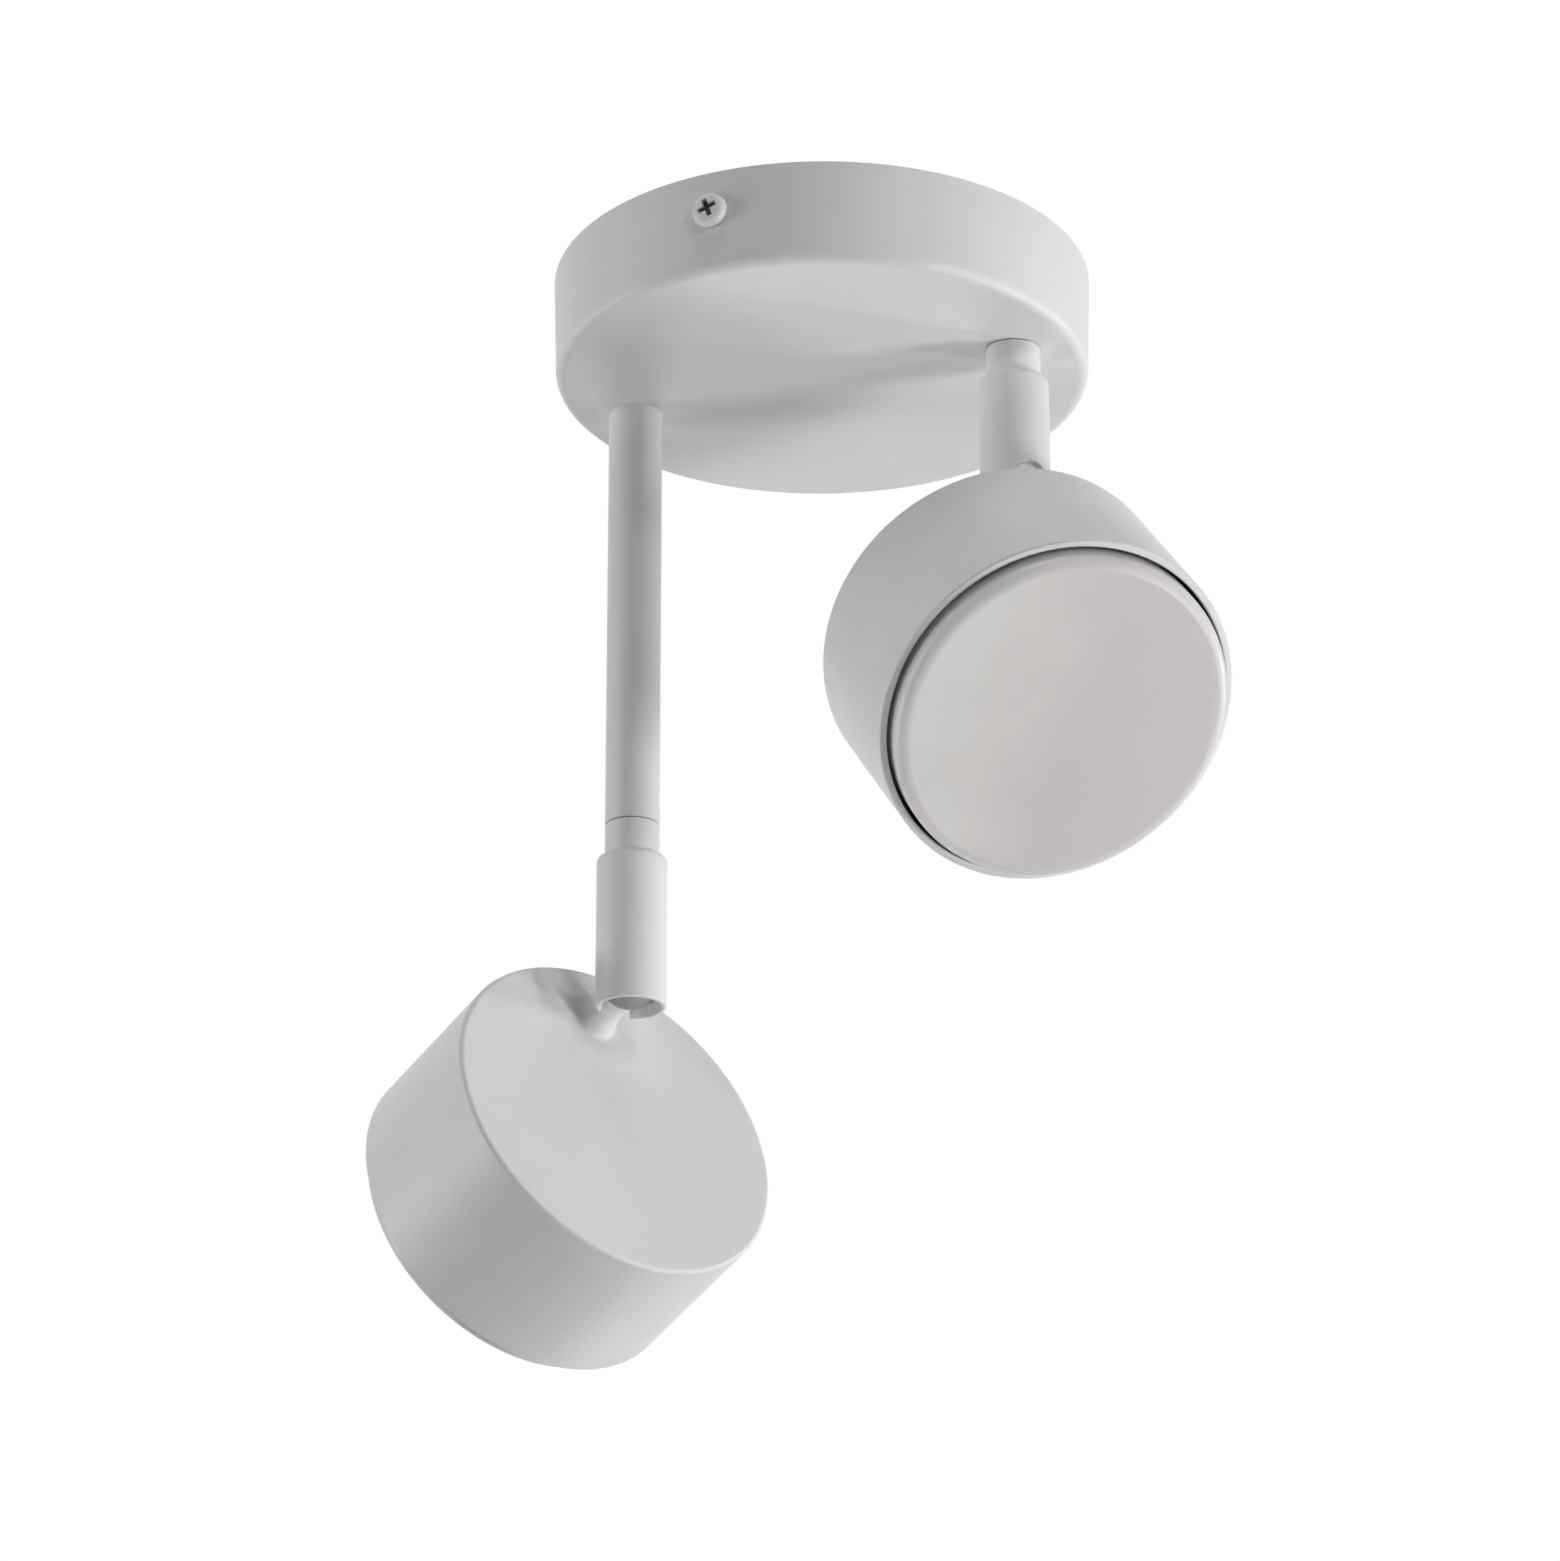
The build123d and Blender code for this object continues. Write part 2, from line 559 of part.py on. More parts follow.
def ball_cup():
    """Cup that presses on the top of the ball."""
    low = math.degrees(math.asin(CUP_LOW / SEAT_RADIUS))
    high = math.degrees(math.acos(CUP_BORE / SEAT_RADIUS))
    profile = make_face([
        Polyline(
            (CUP_BORE, math.sqrt(SEAT_RADIUS ** 2 - CUP_BORE ** 2)),
            (CUP_BORE, CUP_TOP),
            (BALL_RADIUS, CUP_TOP),
            (BALL_RADIUS, CUP_LOW),
            (math.sqrt(SEAT_RADIUS ** 2 - CUP_LOW ** 2), CUP_LOW),
        ),
        CenterArc((0, 0), SEAT_RADIUS, low, high - low),
    ])
    return turned(profile)


def friction_springs():
    """Two dished spring washers back to back, between the cup and the cap."""
    middle = CUP_TOP + SPRING_SPACE / 2
    crown = middle - FIT
    dish = turned(outline(
        (BALL_RADIUS, CUP_TOP),
        (BALL_RADIUS, CUP_TOP + SPRING_METAL),
        (CUP_BORE, crown),
        (CUP_BORE, crown - SPRING_METAL),
    ))
    return group(dish, mirror(dish, Plane.XY.offset(middle)))


def ball_stud():
    """Keyed ball with a flared neck and a hollow thread, and a slit that lets the leads follow the tilt."""
    neck = turned(outline(
        (0, 0),
        (STUD_RADIUS, 0),
        (STUD_RADIUS, FOOT_FLARE - STUD_STANDOFF),
        (STUD_RADIUS + FOOT_RIM, -STUD_STANDOFF),
        (0, -STUD_STANDOFF),
    ))
    tip = STUD_TIP - STUD_STANDOFF
    key = along_y(KEY_RADIUS, 2 * (BALL_RADIUS + KEY_STAND))
    body = Sphere(BALL_RADIUS) + key + neck + rod(STUD_RADIUS, tip, -STUD_STANDOFF)
    way_out = 2 * BALL_RADIUS
    above = (Align.MIN, Align.CENTER, Align.MIN)
    slit = along_x(STUD_BORE, way_out) + Box(way_out, 2 * STUD_BORE, way_out, align=above)
    return body - slit - rod(STUD_BORE, tip, way_out)


def stud_washer():
    """Washer inside the head's back plate."""
    piece = washer(STUD_RADIUS, STUD_WASHER_RIM, -HEAD_WALL - STUD_WASHER, STUD_WASHER)
    return Pos(STUD_OFFSET, 0, 0) * piece


def stud_nut():
    """Nut that clamps the head to its stud."""
    low = -HEAD_WALL - STUD_WASHER - STUD_NUT_HEIGHT
    return Pos(STUD_OFFSET, 0, 0) * hex_nut(STUD_RADIUS, STUD_NUT_WALL, low, STUD_NUT_HEIGHT)


def head_housing():
    """Deep round cup, open at the front, with the stud's hole near the edge of its back plate."""
    inside = HEAD_RADIUS - HEAD_WALL
    outer = outline((0, 0), (HEAD_RADIUS, 0), (HEAD_RADIUS, HEAD_RIM), (0, HEAD_RIM))
    inner = outline((0, -HEAD_WALL), (inside, -HEAD_WALL), (inside, HEAD_RIM), (0, HEAD_RIM))
    wall = rounded(outer - inner, (HEAD_RADIUS, 0), HEAD_EDGE)
    wall = rounded(wall, (HEAD_RADIUS, HEAD_RIM), RIM_EDGE)
    wall = rounded(wall, (inside, HEAD_RIM), RIM_EDGE)
    stud_hole = rod(STUD_RADIUS + 2 * FIT, -2 * HEAD_WALL, HEAD_WALL)
    return turned(wall) - Pos(STUD_OFFSET, 0, 0) * stud_hole


def lampholder_bridge():
    """Hat-shaped strap on the back plate that carries the lampholder."""
    foot = -HEAD_WALL - BRIDGE_METAL / 2
    top = HOLDER_BACK + BRIDGE_METAL / 2
    reach = HOLDER_SCREW_CIRCLE + BRIDGE_STEP
    half = ((reach + BRIDGE_FOOT, foot), (reach, foot), (reach, top))
    points = (*half, *[(-y, z) for y, z in reversed(half)])
    body = strip(points, BRIDGE_METAL, BRIDGE_METAL, BRIDGE_WIDTH)
    for hole in pair(rod(HOLDER_SCREW_RADIUS + FIT, 2 * HOLDER_BACK, 0), (0, HOLDER_SCREW_CIRCLE, 0)):
        body -= hole
    return body


def lampholder():
    """Moulded ring with a deck at the front, two keyholes for the lamp's pins and two screw bosses."""
    deck_back = DECK + HOLDER_DECK
    body = tube(HOLDER_RADIUS, HOLDER_HOLE, DECK, HOLDER_BACK)
    body -= tube(HOLDER_RADIUS - HOLDER_WALL, HOLDER_HOLE + HOLDER_WALL, deck_back, HOLDER_BACK)
    head_bore = HOLDER_SCREW_HEAD + FIT
    for boss in pair(rod(head_bore + BOSS_WALL, deck_back, HOLDER_BACK), (0, HOLDER_SCREW_CIRCLE, 0)):
        body += boss
    screw_way = rod(HOLDER_SCREW_RADIUS + FIT, DECK, HOLDER_BACK) + rod(head_bore, DECK, HOLDER_SCREW_SEAT)
    for cut in pair(screw_way, (0, HOLDER_SCREW_CIRCLE, 0)):
        body -= cut
    track = CenterArc((0, 0), PIN_CIRCLE, -PIN_TWIST, PIN_TWIST)
    keyhole = SlotArc(track, 2 * (PIN_NECK + FREE)) + Pos(track @ 0) * Circle(PIN_HEAD + FREE)
    cut = Pos(0, 0, DECK) * extrude(keyhole, HOLDER_DECK)
    return body - cut - Rot(0, 0, 180) * cut


def lampholder_screws():
    """Two screws through the lampholder into its bridge, sunk below the deck."""
    length = HOLDER_BACK + BRIDGE_METAL - HOLDER_SCREW_SEAT
    screw = pan_screw(HOLDER_SCREW_RADIUS, length, HOLDER_SCREW_HEAD, HOLDER_SCREW_HEAD_HEIGHT)
    seated = Pos(0, 0, HOLDER_SCREW_SEAT) * Rot(180, 0, 0) * screw
    return group(*pair(seated, (0, HOLDER_SCREW_CIRCLE, 0)))


def lampholder_contacts():
    """Contact strip behind each keyhole, from the holder's outer wall inwards."""
    wall = HOLDER_RADIUS - HOLDER_WALL
    end = math.sqrt(wall ** 2 - (CONTACT_WIDTH / 2) ** 2) - FIT
    inwards = (Align.MAX, Align.CENTER, Align.MIN)
    contact = Pos(end, 0, CONTACT_LOW) * Box(CONTACT_LENGTH, CONTACT_WIDTH, CONTACT_METAL, align=inwards)
    return group(contact, Rot(0, 0, 180) * contact)


def head_leads():
    """Two leads from inside the ball, through the stud to the lampholder's contacts."""
    end = CONTACT_LOW + CONTACT_METAL
    level = HOLDER_BACK + BRIDGE_METAL + FREE + LEAD_RADIUS
    straight = lead((STUD_OFFSET, LEAD_SIDE, STUD_STANDOFF), (STUD_OFFSET, LEAD_SIDE, end))
    across = lead(
        (STUD_OFFSET, -LEAD_SIDE, STUD_STANDOFF),
        (STUD_OFFSET, -LEAD_SIDE, level),
        (-PIN_CIRCLE, -LEAD_SIDE, level),
        (-PIN_CIRCLE, -LEAD_SIDE, end),
        widest=[HEAD_LEAD_BEND, HEAD_LEAD_BEND],
    )
    return group(straight, across)


def lamp_base():
    """Hollow moulded lamp body with a boss that enters the lampholder, and a ledge for the light board."""
    boss = HOLDER_HOLE - 2 * FREE
    boss_top = MATE + LAMP_BOSS_HEIGHT
    back = LAMP_RADIUS - LAMP_TAPER
    board_top = DIFFUSER_RIM + BOARD_METAL
    inside = LAMP_RADIUS - LAMP_WALL
    behind = back - LAMP_WALL - BOARD_LEDGE
    outer = outline(
        (0, boss_top),
        (boss, boss_top),
        (boss, MATE),
        (back, MATE),
        (LAMP_RADIUS, DIFFUSER_RIM),
        (0, DIFFUSER_RIM),
    )
    outer = rounded(outer, (boss, boss_top), LAMP_WALL)
    inner = outline(
        (0, boss_top - LAMP_WALL),
        (boss - LAMP_WALL, boss_top - LAMP_WALL),
        (boss - LAMP_WALL, MATE - LAMP_WALL),
        (behind, MATE - LAMP_WALL),
        (behind, board_top),
        (inside, board_top),
        (inside, DIFFUSER_RIM),
        (0, DIFFUSER_RIM),
    )
    body = turned(outer - inner)
    for hole in pair(rod(PIN_NECK + FIT, MATE - 2 * LAMP_WALL, 0), (PIN_CIRCLE, 0, 0)):
        body -= hole
    return body


def lamp_pins():
    """Two mushroom pins riveted through the lamp's back."""
    inside = MATE - LAMP_WALL
    head = outline((0, PIN_HEAD_LOW), (PIN_HEAD, PIN_HEAD_LOW), (PIN_HEAD, PIN_HEAD_TOP), (0, PIN_HEAD_TOP))
    head = rounded(head, (PIN_HEAD, PIN_HEAD_TOP), PIN_HEAD_EDGE)
    pin = turned(head) + rod(PIN_NECK, inside, PIN_HEAD_LOW) + rod(PIN_HEAD, inside - PIN_RIVET, inside)
    return group(*pair(pin, (PIN_CIRCLE, 0, 0)))


def led_board():
    """Round metal board with rings of light sources, seated in the lamp body behind the diffuser."""
    body = rod(LAMP_RADIUS - LAMP_WALL - FIT, DIFFUSER_RIM, DIFFUSER_RIM + BOARD_METAL)
    chip = Pos(0, 0, DIFFUSER_RIM) * Box(CHIP_SIZE, CHIP_SIZE, CHIP_HEIGHT, align=DOWN)
    for radius, count in CHIP_RINGS:
        for place in PolarLocations(radius, count):
            body += place * chip
    return body


def lamp_diffuser():
    """Opal cap with a rounded edge and a flat front."""
    inside = LAMP_RADIUS - LAMP_WALL
    glow = FRONT + LAMP_WALL
    outer = outline((0, DIFFUSER_RIM), (LAMP_RADIUS, DIFFUSER_RIM), (LAMP_RADIUS, FRONT), (0, FRONT))
    outer = rounded(outer, (LAMP_RADIUS, FRONT), LAMP_EDGE)
    inner = outline((0, DIFFUSER_RIM), (inside, DIFFUSER_RIM), (inside, glow), (0, glow))
    inner = rounded(inner, (inside, glow), LAMP_EDGE - LAMP_WALL)
    return turned(outer - inner)


SHARED_PIECES = (
    canopy_shell,
    mounting_bracket,
    canopy_screws,
    terminal_block,
    terminal_screws,
    earth_tag,
    earth_screw,
    earth_lead,
    long_stem,
    stem_nipple,
    nipple_washers,
    nipple_nuts,
)
SWIVEL_PIECES = (pivot_washer, joint_washer, swivel_cap, swivel_barrel, ball_cup, friction_springs)
HEAD_PIECES = (
    stud_washer,
    stud_nut,
    head_housing,
    lampholder_bridge,
    lampholder,
    lampholder_screws,
    lampholder_contacts,
    head_leads,
    lamp_base,
    lamp_pins,
    led_board,
    lamp_diffuser,
)

nodes = {piece.__name__: piece() for piece in SHARED_PIECES}
for name, arm in ARMS.items():
    hang = Pos(arm["x"], 0, ball_height(arm))
    turn = hang * Rot(0, 0, arm["pan"])
    aim = turn * Rot(0, -arm["tilt"], 0)
    plate = aim * Pos(-STUD_OFFSET, 0, -STUD_STANDOFF)
    nodes[f"{name}_arm_leads"] = arm_leads(arm)
    nodes[f"{name}_pivot_nipple"] = hang * pivot_nipple(arm)
    nodes[f"{name}_ball_stud"] = aim * ball_stud()
    for piece in SWIVEL_PIECES:
        nodes[f"{name}_{piece.__name__}"] = turn * piece()
    for piece in HEAD_PIECES:
        nodes[f"{name}_{piece.__name__}"] = plate * piece()

os.makedirs("parts", exist_ok=True)
for node, shape in nodes.items():
    export_step(shape, f"parts/{node}.step")
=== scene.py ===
"""Paint, lamps, fasteners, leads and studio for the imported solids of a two-head ceiling spotlight."""

import json
import math

import bpy
import numpy as np
from bpy.props import FloatProperty, FloatVectorProperty, PointerProperty
from mathutils import Matrix, Vector


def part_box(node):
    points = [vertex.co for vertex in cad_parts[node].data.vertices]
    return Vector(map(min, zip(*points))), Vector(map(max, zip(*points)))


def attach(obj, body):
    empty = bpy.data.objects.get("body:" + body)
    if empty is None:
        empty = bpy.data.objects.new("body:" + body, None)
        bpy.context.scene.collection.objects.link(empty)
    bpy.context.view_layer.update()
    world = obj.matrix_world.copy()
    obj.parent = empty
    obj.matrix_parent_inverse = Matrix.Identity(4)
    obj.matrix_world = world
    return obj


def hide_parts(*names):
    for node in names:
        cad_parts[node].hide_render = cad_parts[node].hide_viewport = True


bl_info = {
    "name": "Two-head ceiling spotlight",
    "version": (1, 0, 0),
    "blender": (4, 5, 0),
    "location": "3D View > Sidebar > Spotlight",
    "description": "Dresses the packed spotlight with its paint, lamps, fasteners, leads and studio",
    "category": "Object",
}

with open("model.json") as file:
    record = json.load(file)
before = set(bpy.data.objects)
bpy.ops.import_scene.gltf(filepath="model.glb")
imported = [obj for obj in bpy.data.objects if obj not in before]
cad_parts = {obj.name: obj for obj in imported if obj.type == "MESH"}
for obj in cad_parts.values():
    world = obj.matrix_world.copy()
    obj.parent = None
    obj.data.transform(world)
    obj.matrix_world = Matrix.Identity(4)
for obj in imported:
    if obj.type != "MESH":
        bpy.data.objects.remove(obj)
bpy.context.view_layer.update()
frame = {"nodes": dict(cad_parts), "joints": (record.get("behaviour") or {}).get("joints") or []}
NODES = frame["nodes"]
JOINTS = {joint["name"]: joint for joint in frame["joints"]}
ARMS = ("long", "short")
MM = 0.001
WELD = 1e-7  # points closer than this are one point
CREASE = math.radians(32)  # edges sharper than this stay sharp
COAT_RELIEF = 0.035 * MM  # heights of the surfaces' fine patterns
METAL_RELIEF = 0.012 * MM
MOULD_RELIEF = 0.010 * MM
HEAD_SIDE = 0.30  # straight side of a screw's head, as a share of its height
RECESS_DEPTH = 0.66  # depth of a screw's recess, as a share of its head's height
RECESS_SHADE_FULL = 0.4  # depth at which a screw's recess is fully painted shade, as a share of the head's height
WING_WIDTH, WING_REACH = 0.165, 0.58  # half widths and lengths of the recess, as shares of the head's radius
THREAD_ROWS = 12  # rows of points on each turn of a thread
FAR, MIDWAY, NEAR = 1.2, 0.9, 0.6  # from the studio lamps to their aim
LAMPS = {  # turn and rise round the aim in degrees, distance from it, side of the lamp
    "right": (80, -8, FAR, 0.12),
    "under": (95, -30, FAR, 0.2),
    "behind": (125, -6, NEAR, 0.06),
    "left": (-75, -12, FAR, 0.3),
    "side": (-55, 10, NEAR, 0.15),
    "front": (50, 20, FAR, 0.3),
    "top": (20, 75, FAR, 0.5),
    "low": (-160, -38, MIDWAY, 0.375),
}
FLOOR_SIDE = 16.0
FLOOR_POINTS = 9  # along each side of the floor


def node_points(name):
    """All points of a solid, in metres."""
    mesh = NODES[name].data
    flat = np.empty(len(mesh.vertices) * 3, np.float32)
    mesh.vertices.foreach_get("co", flat)
    return flat.reshape(-1, 3).astype(float)


def local_points(name, place):
    """All points of a solid along a place's own axes."""
    return placed(node_points(name), place.inverted())


def placed(points, matrix):
    """Points moved by a 4x4 matrix."""
    turn = np.array(matrix)
    return points @ turn[:3, :3].T + turn[:3, 3]


def head_place(arm):
    """A head's own axes: origin in the middle of its back plate, Z out of the plate, X towards the stud."""
    twist = JOINTS[f"{arm}_lamp_twist"]
    out = -Vector(twist["axis"]).normalized()
    on_axis = Vector(twist["pos_m"])
    reach = float((node_points(f"{arm}_head_housing") @ np.array(out)).max())
    middle = on_axis + out * (reach - on_axis.dot(out))
    ball = Vector(JOINTS[f"{arm}_tilt"]["pos_m"])
    across = ball - middle
    across = (across - out * across.dot(out)).normalized()
    axes = Matrix((across, out.cross(across), out)).transposed().to_4x4()
    axes.translation = middle
    return axes


def stud_offset(arm):
    """Distance from a head's axis to its stud's axis."""
    return (head_place(arm).inverted() @ Vector(JOINTS[f"{arm}_tilt"]["pos_m"])).x


def wall_of(name, place, radius):
    """Thickness of a cup's wall, from the points nearest its axis close to its mouth."""
    x, y, z = local_points(name, place).T
    depth = np.abs(z)
    return radius - float(np.hypot(x, y)[depth > 0.9 * depth.max()].min())


def side_screw_place():
    """Axes at the top of the near side screw's head, Z out of the canopy, Y up."""
    points = node_points("canopy_screws")
    x, y = points[points[:, 1] < 0, :2].mean(0)
    turn = math.atan2(x, -y)
    reach = float((points @ np.array((math.sin(turn), -math.cos(turn), 0))).max())
    middle = Vector((0, -reach, (SCREW_LOW.z + SCREW_HIGH.z) / 2))
    return Matrix.Rotation(turn, 4, "Z") @ Matrix.Translation(middle) @ Matrix.Rotation(math.pi / 2, 4, "X")


SCREW_LOW, SCREW_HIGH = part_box("canopy_screws")
NUT_LOW, NUT_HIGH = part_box("nipple_nuts")
STEM_NIPPLE_LOW, STEM_NIPPLE_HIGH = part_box("stem_nipple")
CANOPY_LOW, CANOPY_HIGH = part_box("canopy_shell")
CUP_LOW, CUP_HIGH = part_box("long_ball_cup")
BALL_RADIUS = (CUP_HIGH.y - CUP_LOW.y) / 2  # the cup is as wide as the ball
HEAD_RADIUS = float(np.hypot(*local_points("long_head_housing", head_place("long")).T[:2]).max())


def length(label, text, default):
    """A size in metres that a user may change."""
    return FloatProperty(name=label, description=text, default=default, min=0.0, precision=5, unit="LENGTH")


def colour(label, text, default):
    """A colour that a user may change."""
    return FloatVectorProperty(
        name=label, description=text, default=default, size=3, min=0.0, max=1.0, subtype="COLOR")


def power(label, text, default):
    """A lamp's power in watts."""
    return FloatProperty(name=label, description=text, default=default, min=0.0, unit="POWER")


def angle(label, text, degrees):
    """An angle, given in degrees and kept in radians."""
    return FloatProperty(name=label, description=text, default=math.radians(degrees), unit="ROTATION")


class PaintSettings(bpy.types.PropertyGroup):
    """White powder coat on the canopy, stem, swivels and heads."""

    coat: colour("Coat", "Colour of the powder coat", (0.800, 0.802, 0.800))
    # Painted shade: the coat inside the canopy and the heads is as white as outside; this grey stands for the
    # shade deep inside them.
    thin: colour("Painted shade", "Colour of the thin coat inside the canopy and the heads", (0.30, 0.30, 0.295))
    speck: colour("Speck", "Colour of the tiny specks in the coat", (0.36, 0.36, 0.36))
    # Painted shade: this near black goes down in a screw's recess and stands for the shade there.
    recess: colour("Recess", "Colour of the painted shade down in a screw's recess", (0.10, 0.10, 0.10))
    peel: length("Peel", "Width of the ripples in the coat", 0.9 * MM)
    nibs: length("Nibs", "Distance between raised grains in the coat", 13 * MM)
    bead: length("Bead", "Height of the coat's bead round a stud's foot", 1.3 * MM)
    foot: length("Foot", "Radius of a stud's neck at the top of its bead", 4.72 * MM)


class LampSettings(bpy.types.PropertyGroup):
    """Disc lamps and their holders."""

    # Painted light: the opal front goes from the lighter opal on one side to the darker opal shade on the
    # other, standing for how light falls across it.
    opal: colour("Opal", "Colour of the opal front", (0.930, 0.886, 0.853))
    opal_painted_shade: colour("Opal shade", "Colour of the shadier side of the opal front", (0.690, 0.660, 0.655))
    moulding: colour("Moulding", "Colour of lampholders, lamp bodies and terminal block", (0.82, 0.82, 0.80))
    board: colour("Board", "Colour of the light board's solder mask", (0.80, 0.81, 0.81))
    # These place the painted shade on the opal front; its clouds only move the shade's edge.
    opal_reach: length("Opal reach", "How far either side of the middle the shade begins and ends", 25 * MM)
    opal_drift: length("Opal drift", "How far the clouds move the shade's edge", 30 * MM)
    cloud: length("Cloud", "Width of the clouds in the opal front", 24 * MM)


class MetalSettings(bpy.types.PropertyGroup):
    """Bare metal, leads and washers."""

    zinc: colour("Zinc", "Colour of zinc plated steel", (0.62, 0.63, 0.64))
    zinc_dull: colour("Dull zinc", "Colour of the duller grains of zinc", (0.46, 0.47, 0.49))
    brass: colour("Brass", "Colour of brass", (0.78, 0.60, 0.30))
    brass_dull: colour("Dull brass", "Colour of tarnished brass", (0.52, 0.38, 0.18))
    ball: colour("Ball", "Colour of the swivels' bare steel balls", (0.42, 0.42, 0.415))
    fibre: colour("Fibre", "Colour of the slip washers", (0.075, 0.075, 0.078))
    lead: colour("Lead", "Colour of the silicone leads", (0.80, 0.80, 0.78))
    earth_green: colour("Earth green", "Green of the earth lead", (0.09, 0.33, 0.08))
    earth_yellow: colour("Earth yellow", "Yellow of the earth lead", (0.80, 0.66, 0.06))


class FastenerSettings(bpy.types.PropertyGroup):
    """Screws, nuts and hollow threads."""

    head_radius: length("Screw head", "Radius of a side screw's head", (SCREW_HIGH.z - SCREW_LOW.z) / 2)
    head_height: length("Head height", "Height of a side screw's head", 2.4 * MM)
    screw_radius: length("Screw", "Radius over a side screw's thread", 2.0 * MM)
    screw_length: length("Screw length", "Length of a side screw below its head", 9.0 * MM)
    screw_pitch: length("Screw pitch", "Pitch of a side screw's thread", 0.7 * MM)
    recess_turn: angle("Recess turn", "How far the cross recess is turned from upright", 20.0)
    nut_flats: length("Nut", "Distance from a nut's axis to its flats", (NUT_HIGH.y - NUT_LOW.y) / 2)
    nut_play: length("Nut play", "Clearance between a nut's bore and its thread", 0.05 * MM)
    nipple_radius: length("Nipple", "Radius over a nipple's thread",
                          (STEM_NIPPLE_HIGH.y - STEM_NIPPLE_LOW.y) / 2)
    nipple_bore: length("Nipple bore", "Radius of a nipple's bore", 3.5 * MM)
    nipple_pitch: length("Nipple pitch", "Pitch of a nipple's thread", 1.0 * MM)
    flange_height: length("Flange", "Height of the flange under a pivot", 2.0 * MM)


class StageSettings(bpy.types.PropertyGroup):
    """Camera, soft lamps, floor and background."""

    camera_turn: angle("Camera turn", "Turn of the camera round the object", 21.03)
    camera_rise: angle("Camera rise", "Height of the camera over the horizon", -22.46)
    camera_roll: angle("Camera roll", "Roll of the camera about its line of sight", -0.11)
    camera_distance: length("Camera distance", "From the camera to its aim", 1.2815)
    camera_aim: FloatVectorProperty(
        name="Camera aim", description="Point in the middle of the picture", size=3,
        default=(-0.01025, -0.00006, -0.11799), subtype="XYZ", unit="LENGTH")
    lens: FloatProperty(name="Lens", description="Focal length in millimetres", default=135.76, unit="CAMERA")
    right_power: power("Right lamp", "Power of the small lamp on the right", 2.31)
    under_power: power("Under lamp", "Power of the lamp on the right, from below", 5.10)
    behind_power: power("Behind lamp", "Power of the near lamp on the right, a little behind", 0.97)
    left_power: power("Left lamp", "Power of the soft lamp on the left, a little below", 4.35)
    side_power: power("Side lamp", "Power of the near soft lamp on the left", 0.64)
    front_power: power("Front lamp", "Power of the soft lamp to the right of the camera", 2.57)
    top_power: power("Top lamp", "Power of the soft lamp above", 3.58)
    low_power: power("Low lamp", "Power of the soft lamp behind on the left, near the floor", 1.01)
    floor_drop: length("Floor drop", "Depth of the floor below the ceiling face", 0.95)
    floor: colour("Floor", "Colour of the studio floor", (0.86, 0.86, 0.86))
    floor_glow: FloatProperty(
        name="Floor glow", description="How pale the floor is where it is seen",
        default=0.5, min=0.0, max=1.0)
    floor_fade: length("Floor fade", "From the middle of the floor to where it has faded to white", 5.0)


class SpotlightSettings(bpy.types.PropertyGroup):
    """All sizes and colours of the spotlight and its studio."""

    paint: PointerProperty(type=PaintSettings, name="Paint", description="White powder coat")
    lamp: PointerProperty(type=LampSettings, name="Lamps", description="Disc lamps and their holders")
    metal: PointerProperty(type=MetalSettings, name="Metal", description="Bare metal, leads and washers")
    fasteners: PointerProperty(
        type=FastenerSettings, name="Fasteners", description="Screws, nuts and nipples")
    stage: PointerProperty(type=StageSettings, name="Stage", description="Camera, lamps and floor")


def quad_index(rows, columns):
    """Corner numbers of the faces between neighbouring points of a grid."""
    corner = (np.arange(rows - 1)[:, None] * columns + np.arange(columns - 1)).reshape(-1, 1)
    return corner + np.array([0, 1, columns + 1, columns])


def closed_shell(*grids):
    """One closed surface from grids of points: points that meet become one, faces point outwards.

    A face with two corners in one point becomes a triangle. The shell is turned over where its volume,
    a sixth of the sum of a . (b x c) over its triangles, is negative.
    """
    points = np.concatenate([grid.reshape(-1, 3) for grid in grids])
    starts = np.cumsum([0] + [grid.shape[0] * grid.shape[1] for grid in grids])
    quads = np.concatenate([start + quad_index(*grid.shape[:2]) for start, grid in zip(starts, grids)])
    keys = np.round(points / WELD).astype(np.int64)
    first, place = np.unique(keys, axis=0, return_index=True, return_inverse=True)[1:]
    points, quads = points[first], place.reshape(-1)[quads]
    same = quads == np.roll(quads, -1, axis=1)
    whole = quads[same.sum(1) == 0]
    narrow = quads[same.sum(1) == 1]
    doubled = np.argmax(same[same.sum(1) == 1], axis=1)[:, None]
    triangles = np.take_along_axis(narrow, (doubled + np.array([0, 2, 3])) % 4, axis=1)
    halves = np.concatenate([whole[:, [0, 1, 2]], whole[:, [0, 2, 3]], triangles])
    a, b, c = (points[halves[:, k]] for k in range(3))
    if np.einsum("ij,ij->", a, np.cross(b, c)) < 0:
        whole, triangles = whole[:, ::-1], triangles[:, ::-1]
    return points, whole, triangles


